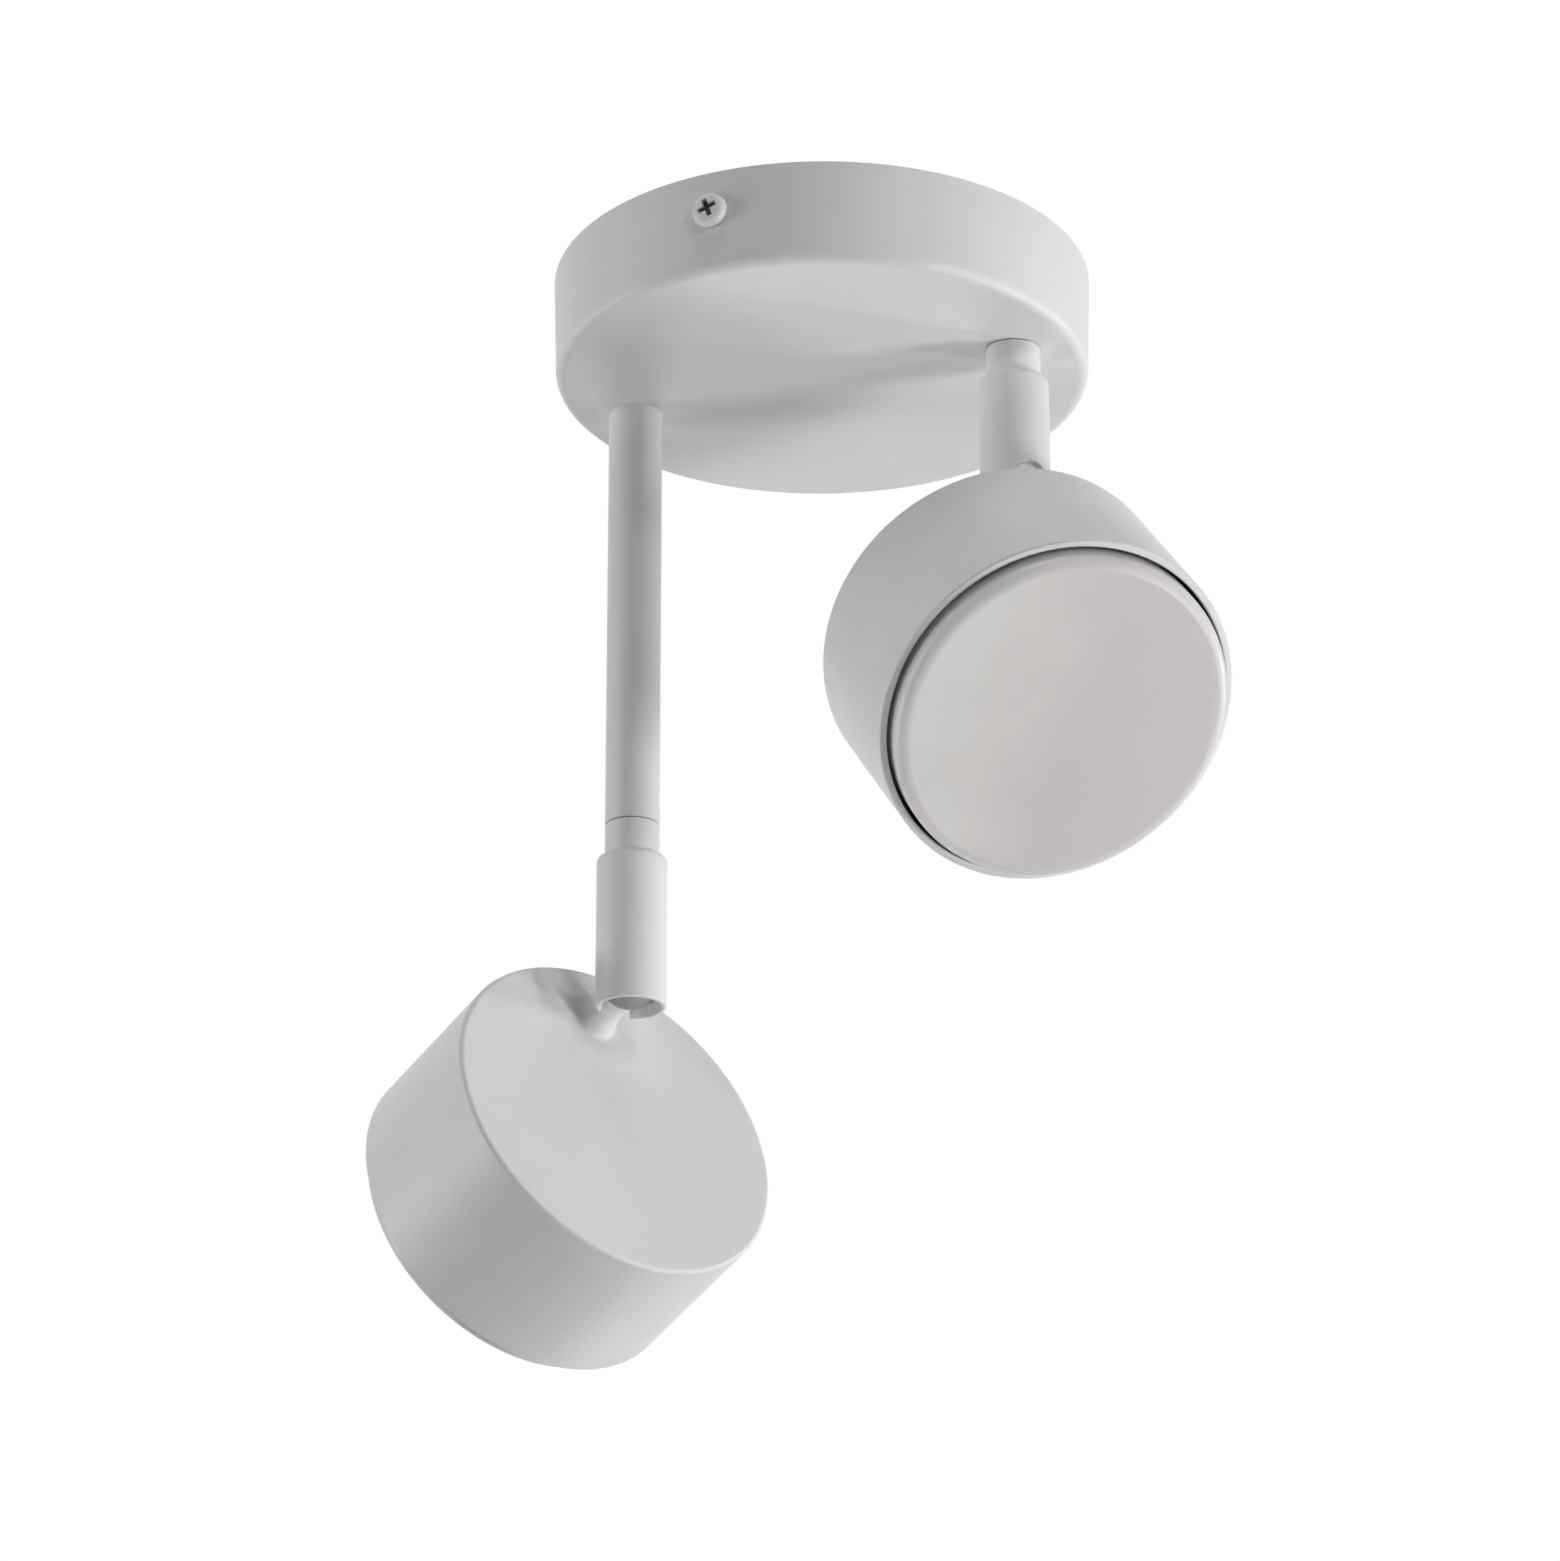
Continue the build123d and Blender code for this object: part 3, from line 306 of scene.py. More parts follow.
def make_piece(name, shells, material, body, replaced=()):
    """Puts closed shells into one smooth-shaded mesh object that rides on a body."""
    starts = np.cumsum([0] + [len(points) for points, _, _ in shells])
    points = np.concatenate([shell[0] for shell in shells])
    faces = []
    for start, (_, quads, triangles) in zip(starts, shells):
        faces += (quads + start).tolist() + (triangles + start).tolist()
    mesh = bpy.data.meshes.new(name)
    mesh.from_pydata(points, [], faces)
    if mesh.validate():
        raise RuntimeError(f"{name} has faulty faces")
    mesh.polygons.foreach_set("use_smooth", np.ones(len(mesh.polygons), bool))
    mesh.set_sharp_from_angle(angle=CREASE)
    mesh.materials.append(material)
    piece = bpy.data.objects.new(name, mesh)
    bpy.context.scene.collection.objects.link(piece)
    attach(piece, body)
    if replaced:
        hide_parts(*replaced)
    return piece


def moved(shell, matrix):
    """A closed shell moved by a 4x4 matrix."""
    points, quads, triangles = shell
    return placed(points, matrix), quads, triangles


def around(radius, height, turn):
    """Points x = r cos a, y = r sin a, z = h from arrays of radius, height and angle."""
    radius, height, turn = np.broadcast_arrays(radius, height, turn)
    return np.stack([radius * np.cos(turn), radius * np.sin(turn), height], axis=-1)


def thread_radius(height, turn, crest, depth, pitch):
    """Radius of a helical thread: crest less depth times a ridge that repeats once a pitch and once a turn.

    The ridge's phase is h / pitch - a / 2 pi. It falls from the crest to the root and back in straight
    flanks with a narrow flat at each.
    """
    phase = np.mod(height / pitch - turn / (2 * math.pi), 1.0)
    return crest - depth * np.clip(1.3 * np.abs(2 * phase - 1) - 0.15, 0, 1)


def screw_dome(sizes, share):
    """Height of a screw head's top at a share r of its radius: s + (h - s) sqrt(1 - r^3.5), its side s."""
    side = HEAD_SIDE * sizes.head_height
    return side + (sizes.head_height - side) * np.sqrt(np.clip(1 - share ** 3.5, 0, 1))


def recess_shade_share(sizes, points):
    """How much painted shade each point of a screw gets: 0 on the dome, 1 down in the recess."""
    share = np.hypot(points[:, 0], points[:, 1]) / sizes.head_radius
    depth = (screw_dome(sizes, share) - points[:, 2]) / (RECESS_SHADE_FULL * sizes.head_height)
    return np.clip(np.where((share < 0.85) & (points[:, 2] > 0), depth, 0), 0, 1)


def screw_shell(sizes):
    """Pan-head screw along Z with its head's seat at z = 0: a round head with a cross recess and a thread.

    The head's top is a square grid (u, v) drawn onto a disc as x = u sqrt(1 - v^2 / 2) and
    y = v sqrt(1 - u^2 / 2), with the height of its dome. The recess takes off a depth that grows inwards from
    the edges of two crossed wings. The side, underside and thread go on from the disc's rim.
    """
    radius, top = sizes.head_radius, sizes.head_height
    even = np.sin(np.linspace(-1, 1, 45) * math.pi / 2)
    edges = np.array([WING_WIDTH, 0.72 * WING_WIDTH, WING_REACH, 0.75 * WING_REACH])
    lines = np.unique(np.round(np.concatenate([even, edges, -edges]), 9))
    u, v = np.meshgrid(lines, lines)
    x, y = u * np.sqrt(1 - v ** 2 / 2), v * np.sqrt(1 - u ** 2 / 2)

    def wing(along, across):
        ends = np.clip((WING_REACH - np.abs(along)) / (0.25 * WING_REACH), 0, 1)
        return np.minimum(ends, np.clip((WING_WIDTH - np.abs(across)) / (0.28 * WING_WIDTH), 0, 1))

    height = screw_dome(sizes, np.hypot(x, y)) - RECESS_DEPTH * top * np.maximum(wing(u, v), wing(v, u))
    disc = np.stack([radius * x, radius * y, height], axis=-1)
    rim = np.concatenate([disc[0, :-1], disc[:-1, -1], disc[-1, :0:-1], disc[::-1, 0]])
    turn = np.arctan2(rim[:, 1], rim[:, 0])
    crest, pitch = sizes.screw_radius, sizes.screw_pitch
    depth = 0.6 * pitch
    low = -sizes.screw_length
    z = np.linspace(low, -0.4 * pitch, int(sizes.screw_length / pitch * THREAD_ROWS))[:, None]
    shank = np.minimum(thread_radius(z, turn, crest, depth, pitch), crest - depth + (z - low) * 0.9)
    rows = [
        around(0.0, low, turn),
        around(shank, z, turn),
        around(crest, 0.0, turn),
        around(0.97 * radius, 0.0, turn),
        around(radius, 0.12 * HEAD_SIDE * top, turn),
        rim,
    ]
    return closed_shell(disc, np.concatenate([row.reshape(-1, len(turn), 3) for row in rows]))


def nut_shell(flats, bore, low, high):
    """Six-sided nut along Z with chamfered corners, as a closed profile carried once round.

    The outline's radius is f / cos(a) within 30 degrees of each flat. A cone of 30 degrees takes off the
    corners, so that each flat ends in an arc.
    """
    turn = np.linspace(0, 2 * math.pi, 6 * 20 + 1)
    outline = flats / np.cos(np.mod(turn, math.pi / 3) - math.pi / 6)
    face = 0.955 * flats
    lost = (outline - face) * math.tan(math.pi / 6)
    bevel = 0.45 * MM
    profile = [
        (bore, low + bevel),
        (bore + bevel, low),
        (face, low),
        (outline, low + lost),
        (outline, high - lost),
        (face, high),
        (bore + bevel, high),
        (bore, high - bevel),
        (bore, low + bevel),
    ]
    return closed_shell(np.stack([around(radius, height, turn) for radius, height in profile]))


def nipple_shell(sizes, low, high, flange=0.0):
    """Hollow thread along Z, with a plain flange at its foot if one is given.

    It is a closed profile carried once round. The outside follows the thread's helix, cut down to its root by
    a cone at each free end.
    """
    turn = np.linspace(0, 2 * math.pi, 73)
    crest, pitch, bore = sizes.nipple_radius, sizes.nipple_pitch, sizes.nipple_bore
    depth = 0.58 * pitch
    bevel = 0.4 * MM
    foot = low + sizes.flange_height if flange else low
    z = np.linspace(foot, high, int((high - foot) / pitch * THREAD_ROWS))[:, None]
    ends = crest - depth + np.minimum(high - z, z - foot if not flange else crest)
    outside = around(np.minimum(thread_radius(z, turn, crest, depth, pitch), ends), z, turn)
    base = [(flange, low), (flange, foot)] if flange else []
    profile = [(bore, low + bevel), (bore + bevel, low)] + base
    inner = [(bore + bevel, high), (bore, high - bevel), (bore, low + bevel)]
    lower = [around(radius, height, turn)[None] for radius, height in profile]
    upper = [around(radius, height, turn)[None] for radius, height in inner]
    return closed_shell(np.concatenate(lower + [outside] + upper))


def bead_shell(radius, height):
    """Bead of coat in the corner between a neck and a plate, about Z, as a closed profile carried once round.

    Its face is a hollow quarter circle from the neck, r = R + h (1 - sin t), down to the plate,
    z = h (1 - cos t).
    """
    turn = np.linspace(0, 2 * math.pi, 97)
    t = np.linspace(0, math.pi / 2, 11)[:, None]
    face = around(radius + height * (1 - np.sin(t[::-1])), height * (1 - np.cos(t[::-1])), turn)
    sunk = 0.75 * radius
    under = [around(sunk, 0.7 * height, turn)[None], around(sunk, 0.0, turn)[None]]
    return closed_shell(np.concatenate([face[::-1]] + under + [face[::-1][:1]]))


def put(tree, kind, inputs=None, **settings):
    """Adds a node with its settings, and links or sets the inputs named."""
    node = tree.nodes.new(kind)
    for key, value in settings.items():
        setattr(node, key, value)
    for key, value in (inputs or {}).items():
        if isinstance(value, bpy.types.NodeSocket):
            tree.links.new(value, node.inputs[key])
        else:
            node.inputs[key].default_value = value
    return node


def first_node(tree, kind):
    """The first node of a kind."""
    return next(node for node in tree.nodes if node.bl_idname == kind)


def calc(tree, operation, *values):
    """A Math node on sockets or numbers."""
    inputs = dict(enumerate(values))
    return put(tree, "ShaderNodeMath", inputs, operation=operation).outputs[0]


def ramp(tree, value, low, high, start=0.0, end=1.0):
    """A smooth step of a value from start at low to end at high."""
    inputs = {"Value": value, "From Min": low, "From Max": high, "To Min": start, "To Max": end}
    return put(tree, "ShaderNodeMapRange", inputs, interpolation_type="SMOOTHSTEP").outputs["Result"]


def blend(tree, factor, a, b):
    """A mix of two colours."""
    inputs = {0: factor, 6: a, 7: b}
    return put(tree, "ShaderNodeMix", inputs, data_type="RGBA").outputs[2]


def noise(tree, vector, scale, detail=2.0, roughness=0.5):
    """Soft noise between 0 and 1."""
    inputs = {"Vector": vector, "Scale": scale, "Detail": detail, "Roughness": roughness}
    return put(tree, "ShaderNodeTexNoise", inputs).outputs[0]


def cells(tree, vector, scale):
    """Distance from the nearest of many scattered points, and a number of its own for each."""
    node = put(tree, "ShaderNodeTexVoronoi", {"Vector": vector, "Scale": scale})
    own = put(tree, "ShaderNodeSeparateColor", {"Color": node.outputs["Color"]}).outputs[0]
    return node.outputs["Distance"], own


def start_group(name, inputs, outputs):
    """A shader node group with named sockets. Gives its tree, its inputs and its output node."""
    tree = bpy.data.node_groups.new(name, "ShaderNodeTree")
    for label, kind in inputs:
        tree.interface.new_socket(label, in_out="INPUT", socket_type=kind)
    for label, kind in outputs:
        tree.interface.new_socket(label, in_out="OUTPUT", socket_type=kind)
    return tree, tree.nodes.new("NodeGroupInput").outputs, tree.nodes.new("NodeGroupOutput")


SURFACE_OUT = (
    ("Color", "NodeSocketColor"),
    ("Roughness", "NodeSocketFloat"),
    ("Height", "NodeSocketFloat"),
)


def coat_group():
    """Powder coat: rippled like orange peel, with a few raised grains, tiny specks and faint clouds."""
    found = bpy.data.node_groups.get("powder_coat")
    if found:
        return found
    tree, given, out = start_group("powder_coat", (
        ("Vector", "NodeSocketVector"),
        ("Coat", "NodeSocketColor"),
        ("Speck", "NodeSocketColor"),
        ("Peel", "NodeSocketFloat"),
        ("Nibs", "NodeSocketFloat"),
    ), SURFACE_OUT)
    where = given["Vector"]
    peel = noise(tree, where, calc(tree, "DIVIDE", 1.0, given["Peel"]), detail=1.5)
    cloud = noise(tree, where, scale=0.045, detail=3.0, roughness=0.55)
    far, own = cells(tree, where, calc(tree, "DIVIDE", 1.0, given["Nibs"]))
    away = calc(tree, "MULTIPLY", far, given["Nibs"])
    nib = calc(tree, "MULTIPLY", ramp(tree, away, 0.05, 0.5, 1.0, 0.0), ramp(tree, own, 0.5, 0.6))
    dot_far, dot_own = cells(tree, where, calc(tree, "DIVIDE", 1.9, given["Nibs"]))
    dot_away = calc(tree, "MULTIPLY", dot_far, given["Nibs"])
    dot = calc(tree, "MULTIPLY", ramp(tree, dot_away, 0.16, 0.30, 0.75, 0.0), ramp(tree, dot_own, 0.62, 0.68))
    shade = ramp(tree, cloud, 0.25, 0.75, 0.972, 1.02)
    toning = {0: given["Coat"], "Scale": shade}
    toned = put(tree, "ShaderNodeVectorMath", toning, operation="SCALE").outputs[0]
    tree.links.new(blend(tree, dot, toned, given["Speck"]), out.inputs["Color"])
    rough = calc(tree, "MULTIPLY_ADD", cloud, 0.12, 0.40)
    tree.links.new(calc(tree, "MULTIPLY_ADD", peel, 0.06, rough), out.inputs["Roughness"])
    tree.links.new(calc(tree, "MULTIPLY_ADD", peel, 0.35, nib), out.inputs["Height"])
    return tree


def metal_group():
    """Plated or drawn metal: grains of two tones, fine drawing lines and a few rubs."""
    found = bpy.data.node_groups.get("worked_metal")
    if found:
        return found
    tree, given, out = start_group("worked_metal", (
        ("Vector", "NodeSocketVector"),
        ("Bright", "NodeSocketColor"),
        ("Dull", "NodeSocketColor"),
        ("Grain", "NodeSocketFloat"),
    ), SURFACE_OUT)
    where = given["Vector"]
    per = calc(tree, "DIVIDE", 1.0, given["Grain"])
    own = cells(tree, where, per)[1]
    cloud = noise(tree, where, calc(tree, "MULTIPLY", per, 0.4), detail=4.0, roughness=0.6)
    stretch = {0: where, 1: (6.0, 0.35, 6.0)}
    drawn = put(tree, "ShaderNodeVectorMath", stretch, operation="MULTIPLY").outputs[0]
    lines = noise(tree, drawn, scale=1.0, detail=3.0, roughness=0.6)
    tone = calc(tree, "MULTIPLY_ADD", own, 0.45, ramp(tree, cloud, 0.3, 0.75, 0.0, 0.55))
    tree.links.new(blend(tree, tone, given["Bright"], given["Dull"]), out.inputs["Color"])
    rough = calc(tree, "MULTIPLY_ADD", own, 0.10, 0.26)
    tree.links.new(calc(tree, "MULTIPLY_ADD", lines, 0.14, rough), out.inputs["Roughness"])
    rise = calc(tree, "MULTIPLY", cloud, 0.3)
    tree.links.new(calc(tree, "MULTIPLY_ADD", lines, 0.7, rise), out.inputs["Height"])
    return tree


def moulded_group():
    """Moulded plastic or rubber: fine die grain and soft clouds of a second tone."""
    found = bpy.data.node_groups.get("moulded_skin")
    if found:
        return found
    tree, given, out = start_group("moulded_skin", (
        ("Vector", "NodeSocketVector"),
        ("Tone", "NodeSocketColor"),
        ("Shade", "NodeSocketColor"),
        ("Grain", "NodeSocketFloat"),
        ("Cloud", "NodeSocketFloat"),
        ("Gloss", "NodeSocketFloat"),
    ), SURFACE_OUT)
    where = given["Vector"]
    grain = noise(tree, where, calc(tree, "DIVIDE", 1.0, given["Grain"]))
    cloud = noise(tree, where, calc(tree, "DIVIDE", 1.0, given["Cloud"]), roughness=0.45)
    tone = ramp(tree, cloud, 0.3, 0.7)
    tree.links.new(blend(tree, tone, given["Tone"], given["Shade"]), out.inputs["Color"])
    rough = calc(tree, "MULTIPLY_ADD", grain, 0.10, given["Gloss"])
    tree.links.new(calc(tree, "MULTIPLY_ADD", tone, 0.04, rough), out.inputs["Roughness"])
    tree.links.new(grain, out.inputs["Height"])
    return tree


def cup_group():
    """Mask of the painted shade inside a cup about Z with the outside of its floor at z = 0: 1 inside, 0
    outside.
    """
    found = bpy.data.node_groups.get("cup_inside")
    if found:
        return found
    tree, given, out = start_group("cup_inside", (
        ("Vector", "NodeSocketVector"),
        ("Radius", "NodeSocketFloat"),
        ("Wall", "NodeSocketFloat"),
    ), (("Mask", "NodeSocketFloat"),))
    part = put(tree, "ShaderNodeSeparateXYZ", {"Vector": given["Vector"]}).outputs
    square = calc(tree, "MULTIPLY_ADD", part[0], part[0], calc(tree, "MULTIPLY", part[1], part[1]))
    radial = calc(tree, "SQRT", square)
    within = calc(tree, "SUBTRACT", given["Radius"], radial)
    depth = calc(tree, "ABSOLUTE", part[2])
    start = calc(tree, "SUBTRACT", given["Wall"], 0.25)
    full = calc(tree, "SUBTRACT", given["Wall"], 0.08)
    mask = calc(tree, "MULTIPLY", ramp(tree, within, start, full), ramp(tree, depth, start, full))
    tree.links.new(mask, out.inputs["Mask"])
    return tree


def use_group(tree, group, **inputs):
    """Places a node group with its inputs. Gives its outputs."""
    return put(tree, "ShaderNodeGroup", inputs, node_tree=group).outputs


def opaque(value):
    """A colour with full alpha."""
    return (*value, 1.0)


def start_material(name, place=None):
    """A material with a Principled shader and pattern coordinates in millimetres along a place's own axes."""
    material = bpy.data.materials.new(name)
    material.use_nodes = True
    tree = material.node_tree
    tree.nodes.clear()
    axes = place or Matrix.Identity(4)
    where = put(tree, "ShaderNodeTexCoord").outputs["Object"]
    mapped = put(tree, "ShaderNodeMapping", {
        "Vector": where,
        "Location": axes.translation,
        "Rotation": axes.to_euler(),
        "Scale": (MM, MM, MM),
    }, vector_type="TEXTURE").outputs[0]
    shader = put(tree, "ShaderNodeBsdfPrincipled")
    put(tree, "ShaderNodeOutputMaterial", {"Surface": shader.outputs[0]})
    return material, tree, mapped, shader


def dress(tree, shader, skin, relief, tint=None):
    """Feeds a skin's colour, roughness and height, the height in metres, to a shader."""
    bump = put(tree, "ShaderNodeBump", {"Height": skin["Height"], "Strength": 1.0, "Distance": relief})
    tree.links.new(tint or skin["Color"], shader.inputs["Base Color"])
    tree.links.new(skin["Roughness"], shader.inputs["Roughness"])
    tree.links.new(bump.outputs[0], shader.inputs["Normal"])


def coat_skin(tree, where, settings):
    """Places the powder coat with its settings. Gives its outputs."""
    return use_group(
        tree, coat_group(), Vector=where, Coat=opaque(settings.coat), Speck=opaque(settings.speck),
        Peel=settings.peel / MM, Nibs=settings.nibs / MM)


def painted(name, settings, cup=None, radius=0.0, wall=0.0):
    """White powder coat. Inside a cup, given by its axes, outer radius and wall, it turns to a grey painted
    shade.
    """
    material, tree, where, shader = start_material(name, cup)
    skin = coat_skin(tree, where, settings)
    tint = None
    if cup:
        # Painted shade: the mask darkens the coat towards the shade colour inside the cup.
        inside = use_group(tree, cup_group(), Vector=where, Radius=radius / MM, Wall=wall / MM)["Mask"]
        tint = blend(tree, inside, skin["Color"], opaque(settings.thin))
    dress(tree, shader, skin, COAT_RELIEF, tint)
    return material


def coated_screw(name, settings):
    """White powder coat on a screw, with painted shade down in its recess."""
    material, tree, where, shader = start_material(name)
    skin = coat_skin(tree, where, settings)
    # Painted shade: the recess attribute darkens the coat down in the recess.
    depth = put(tree, "ShaderNodeAttribute", attribute_name="recess").outputs["Fac"]
    dress(tree, shader, skin, COAT_RELIEF, blend(tree, depth, skin["Color"], opaque(settings.recess)))
    return material


def coated_stud(name, paint, ball, centre):
    """White powder coat on a stud's neck and foot. Its ball, about a centre, is bare steel."""
    material, tree, where, shader = start_material(name, Matrix.Translation(centre))
    skin = coat_skin(tree, where, paint)
    steel = use_group(
        tree, metal_group(), Vector=where, Bright=opaque(ball), Dull=opaque(shaded(ball, 0.75)), Grain=1.5)
    away = put(tree, "ShaderNodeVectorMath", {0: where}, operation="LENGTH").outputs["Value"]
    bare = ramp(tree, away, BALL_RADIUS / MM + 0.05, BALL_RADIUS / MM + 0.15, 1.0, 0.0)
    dress(tree, shader, skin, COAT_RELIEF, blend(tree, bare, skin["Color"], steel["Color"]))
    tree.links.new(bare, shader.inputs["Metallic"])
    return material


def plated(name, bright, dull, grain):
    """Bare metal of two tones."""
    material, tree, where, shader = start_material(name)
    skin = use_group(tree, metal_group(), Vector=where, Bright=opaque(bright), Dull=opaque(dull), Grain=grain)
    dress(tree, shader, skin, METAL_RELIEF)
    shader.inputs["Metallic"].default_value = 1.0
    return material


def moulded(name, tone, shade, gloss, cloud, grain=0.35):
    """Moulded plastic or rubber of two close tones."""
    material, tree, where, shader = start_material(name)
    skin = use_group(
        tree, moulded_group(), Vector=where, Tone=opaque(tone), Shade=opaque(shade), Grain=grain, Cloud=cloud,
        Gloss=gloss)
    dress(tree, shader, skin, MOULD_RELIEF)
    return material


def opal_front(name, settings, place):
    """Translucent opal plastic with painted light: lighter towards one side and darker towards the other, the
    edge in clouds.
    """
    material, tree, where, shader = start_material(name, place)
    across = put(tree, "ShaderNodeSeparateXYZ", {"Vector": where}).outputs[1]
    cloud = noise(tree, where, MM / settings.cloud, roughness=0.45)
    reach, drift = settings.opal_reach / MM, settings.opal_drift / MM
    # Painted light: lighter opal on the head's -Y side, darker opal shade on its +Y side, the edge moved by
    # clouds.
    shade_share = ramp(tree, calc(tree, "MULTIPLY_ADD", cloud, drift, across), -reach, reach)
    tint = blend(tree, shade_share, opaque(settings.opal), opaque(settings.opal_painted_shade))
    skin = use_group(
        tree, moulded_group(), Vector=where, Tone=tint, Shade=tint, Grain=0.35, Cloud=6.0, Gloss=0.34)
    dress(tree, shader, skin, MOULD_RELIEF)
    shader.inputs["Subsurface Weight"].default_value = 0.8
    shader.inputs["Subsurface Radius"].default_value = (1.0, 1.0, 1.0)
    shader.inputs["Subsurface Scale"].default_value = 4.0 * MM
    shader.inputs["IOR"].default_value = 1.49
    return material


def two_tone_lead(name, settings):
    """Silicone of the earth lead: green with a yellow stripe along its upper and lower side."""
    material, tree, where, shader = start_material(name)
    facing = put(tree, "ShaderNodeTexCoord").outputs["Normal"]
    upright = calc(tree, "ABSOLUTE", put(tree, "ShaderNodeSeparateXYZ", {"Vector": facing}).outputs[2])
    stripe = ramp(tree, upright, 0.62, 0.70)
    tint = blend(tree, stripe, opaque(settings.earth_green), opaque(settings.earth_yellow))
    skin = use_group(
        tree, moulded_group(), Vector=where, Tone=tint, Shade=tint, Grain=0.3, Cloud=6.0, Gloss=0.45)
    dress(tree, shader, skin, MOULD_RELIEF)
    return material


def shaded(value, share):
    """A colour made darker by a share."""
    return tuple(part * share for part in value)


def finish_nodes(material, *names):
    """Gives solids their material."""
    for name in names:
        mesh = NODES[name].data
        mesh.materials.clear()
        mesh.materials.append(material)


def each_arm(*pieces):
    """Names of both arms' solids."""
    return [f"{arm}_{piece}" for arm in ARMS for piece in pieces]


class SPOTLIGHT_OT_canopy(bpy.types.Operator):
    """Coat the canopy, with painted shade on its inside"""

    bl_idname = "spotlight.canopy"
    bl_label = "Canopy"

    def execute(self, context):
        settings = context.scene.spotlight.paint
        place = Matrix.Translation((0, 0, CANOPY_LOW.z))
        wall = wall_of("canopy_shell", place, CANOPY_HIGH.x)
        finish_nodes(painted("coat_canopy", settings, place, CANOPY_HIGH.x, wall), "canopy_shell")
        return {"FINISHED"}


class SPOTLIGHT_OT_arms(bpy.types.Operator):
    """Coat the stem, collars, barrels and studs, and add the bead of coat round each stud's foot"""

    bl_idname = "spotlight.arms"
    bl_label = "Stem and swivels"

    def execute(self, context):
        settings, metal = context.scene.spotlight.paint, context.scene.spotlight.metal
        coat = painted("coat_arms", settings)
        finish_nodes(coat, "long_stem", *each_arm("swivel_cap", "swivel_barrel"))
        for arm in ARMS:
            centre = Vector(JOINTS[f"{arm}_tilt"]["pos_m"])
            finish_nodes(coated_stud(f"coat_{arm}_stud", settings, metal.ball, centre), f"{arm}_ball_stud")
            foot = head_place(arm) @ Matrix.Translation((stud_offset(arm), 0, 0))
            bead = moved(bead_shell(settings.foot, settings.bead), foot)
            make_piece(f"{arm}_foot_bead", [bead], coat, f"{arm}_head")
        return {"FINISHED"}


class SPOTLIGHT_OT_heads(bpy.types.Operator):
    """Coat the spot heads, with painted shade on their inside"""

    bl_idname = "spotlight.heads"
    bl_label = "Spot heads"

    def execute(self, context):
        settings = context.scene.spotlight.paint
        for arm in ARMS:
            place, name = head_place(arm), f"{arm}_head_housing"
            wall = wall_of(name, place, HEAD_RADIUS)
            # Each head's material carries the grey painted shade inside its cup.
            finish_nodes(painted(f"coat_{arm}_head", settings, place, HEAD_RADIUS, wall), name)
        return {"FINISHED"}


class SPOTLIGHT_OT_lamps(bpy.types.Operator):
    """Finish the disc lamps and their holders"""

    bl_idname = "spotlight.lamps"
    bl_label = "Lamps and holders"

    def execute(self, context):
        lamp, metal = context.scene.spotlight.lamp, context.scene.spotlight.metal
        for arm in ARMS:
            finish_nodes(opal_front(f"opal_{arm}", lamp, head_place(arm)), f"{arm}_lamp_diffuser")
        white = moulded("white_moulding", lamp.moulding, shaded(lamp.moulding, 0.95), gloss=0.38, cloud=14.0)
        finish_nodes(white, "terminal_block", *each_arm("lampholder", "lamp_base", "ball_cup"))
        mask = shaded(lamp.board, 0.94)
        board = moulded("board_mask", lamp.board, mask, gloss=0.30, cloud=9.0, grain=0.15)
        finish_nodes(board, *each_arm("led_board"))
        brass = plated("brass", metal.brass, metal.brass_dull, grain=1.6)
        finish_nodes(brass, "earth_tag", *each_arm("lampholder_contacts", "lamp_pins"))
        return {"FINISHED"}


class SPOTLIGHT_OT_metalwork(bpy.types.Operator):
    """Plate the bracket, washers, springs and bridges, and finish the slip washers"""

    bl_idname = "spotlight.metalwork"
    bl_label = "Bracket and inner metalwork"

    def execute(self, context):
        settings = context.scene.spotlight.metal
        zinc = plated("zinc_plate", settings.zinc, settings.zinc_dull, grain=2.2)
        finish_nodes(
            zinc, "mounting_bracket", "terminal_screws", "earth_screw", "nipple_washers", "long_pivot_nipple",
            *each_arm("pivot_washer", "friction_springs", "stud_washer", "stud_nut", "lampholder_bridge",
                      "lampholder_screws"))
        dark = shaded(settings.fibre, 0.7)
        fibre = moulded("dark_fibre", settings.fibre, dark, gloss=0.6, cloud=3.0, grain=0.2)
        finish_nodes(fibre, *each_arm("joint_washer"))
        return {"FINISHED"}


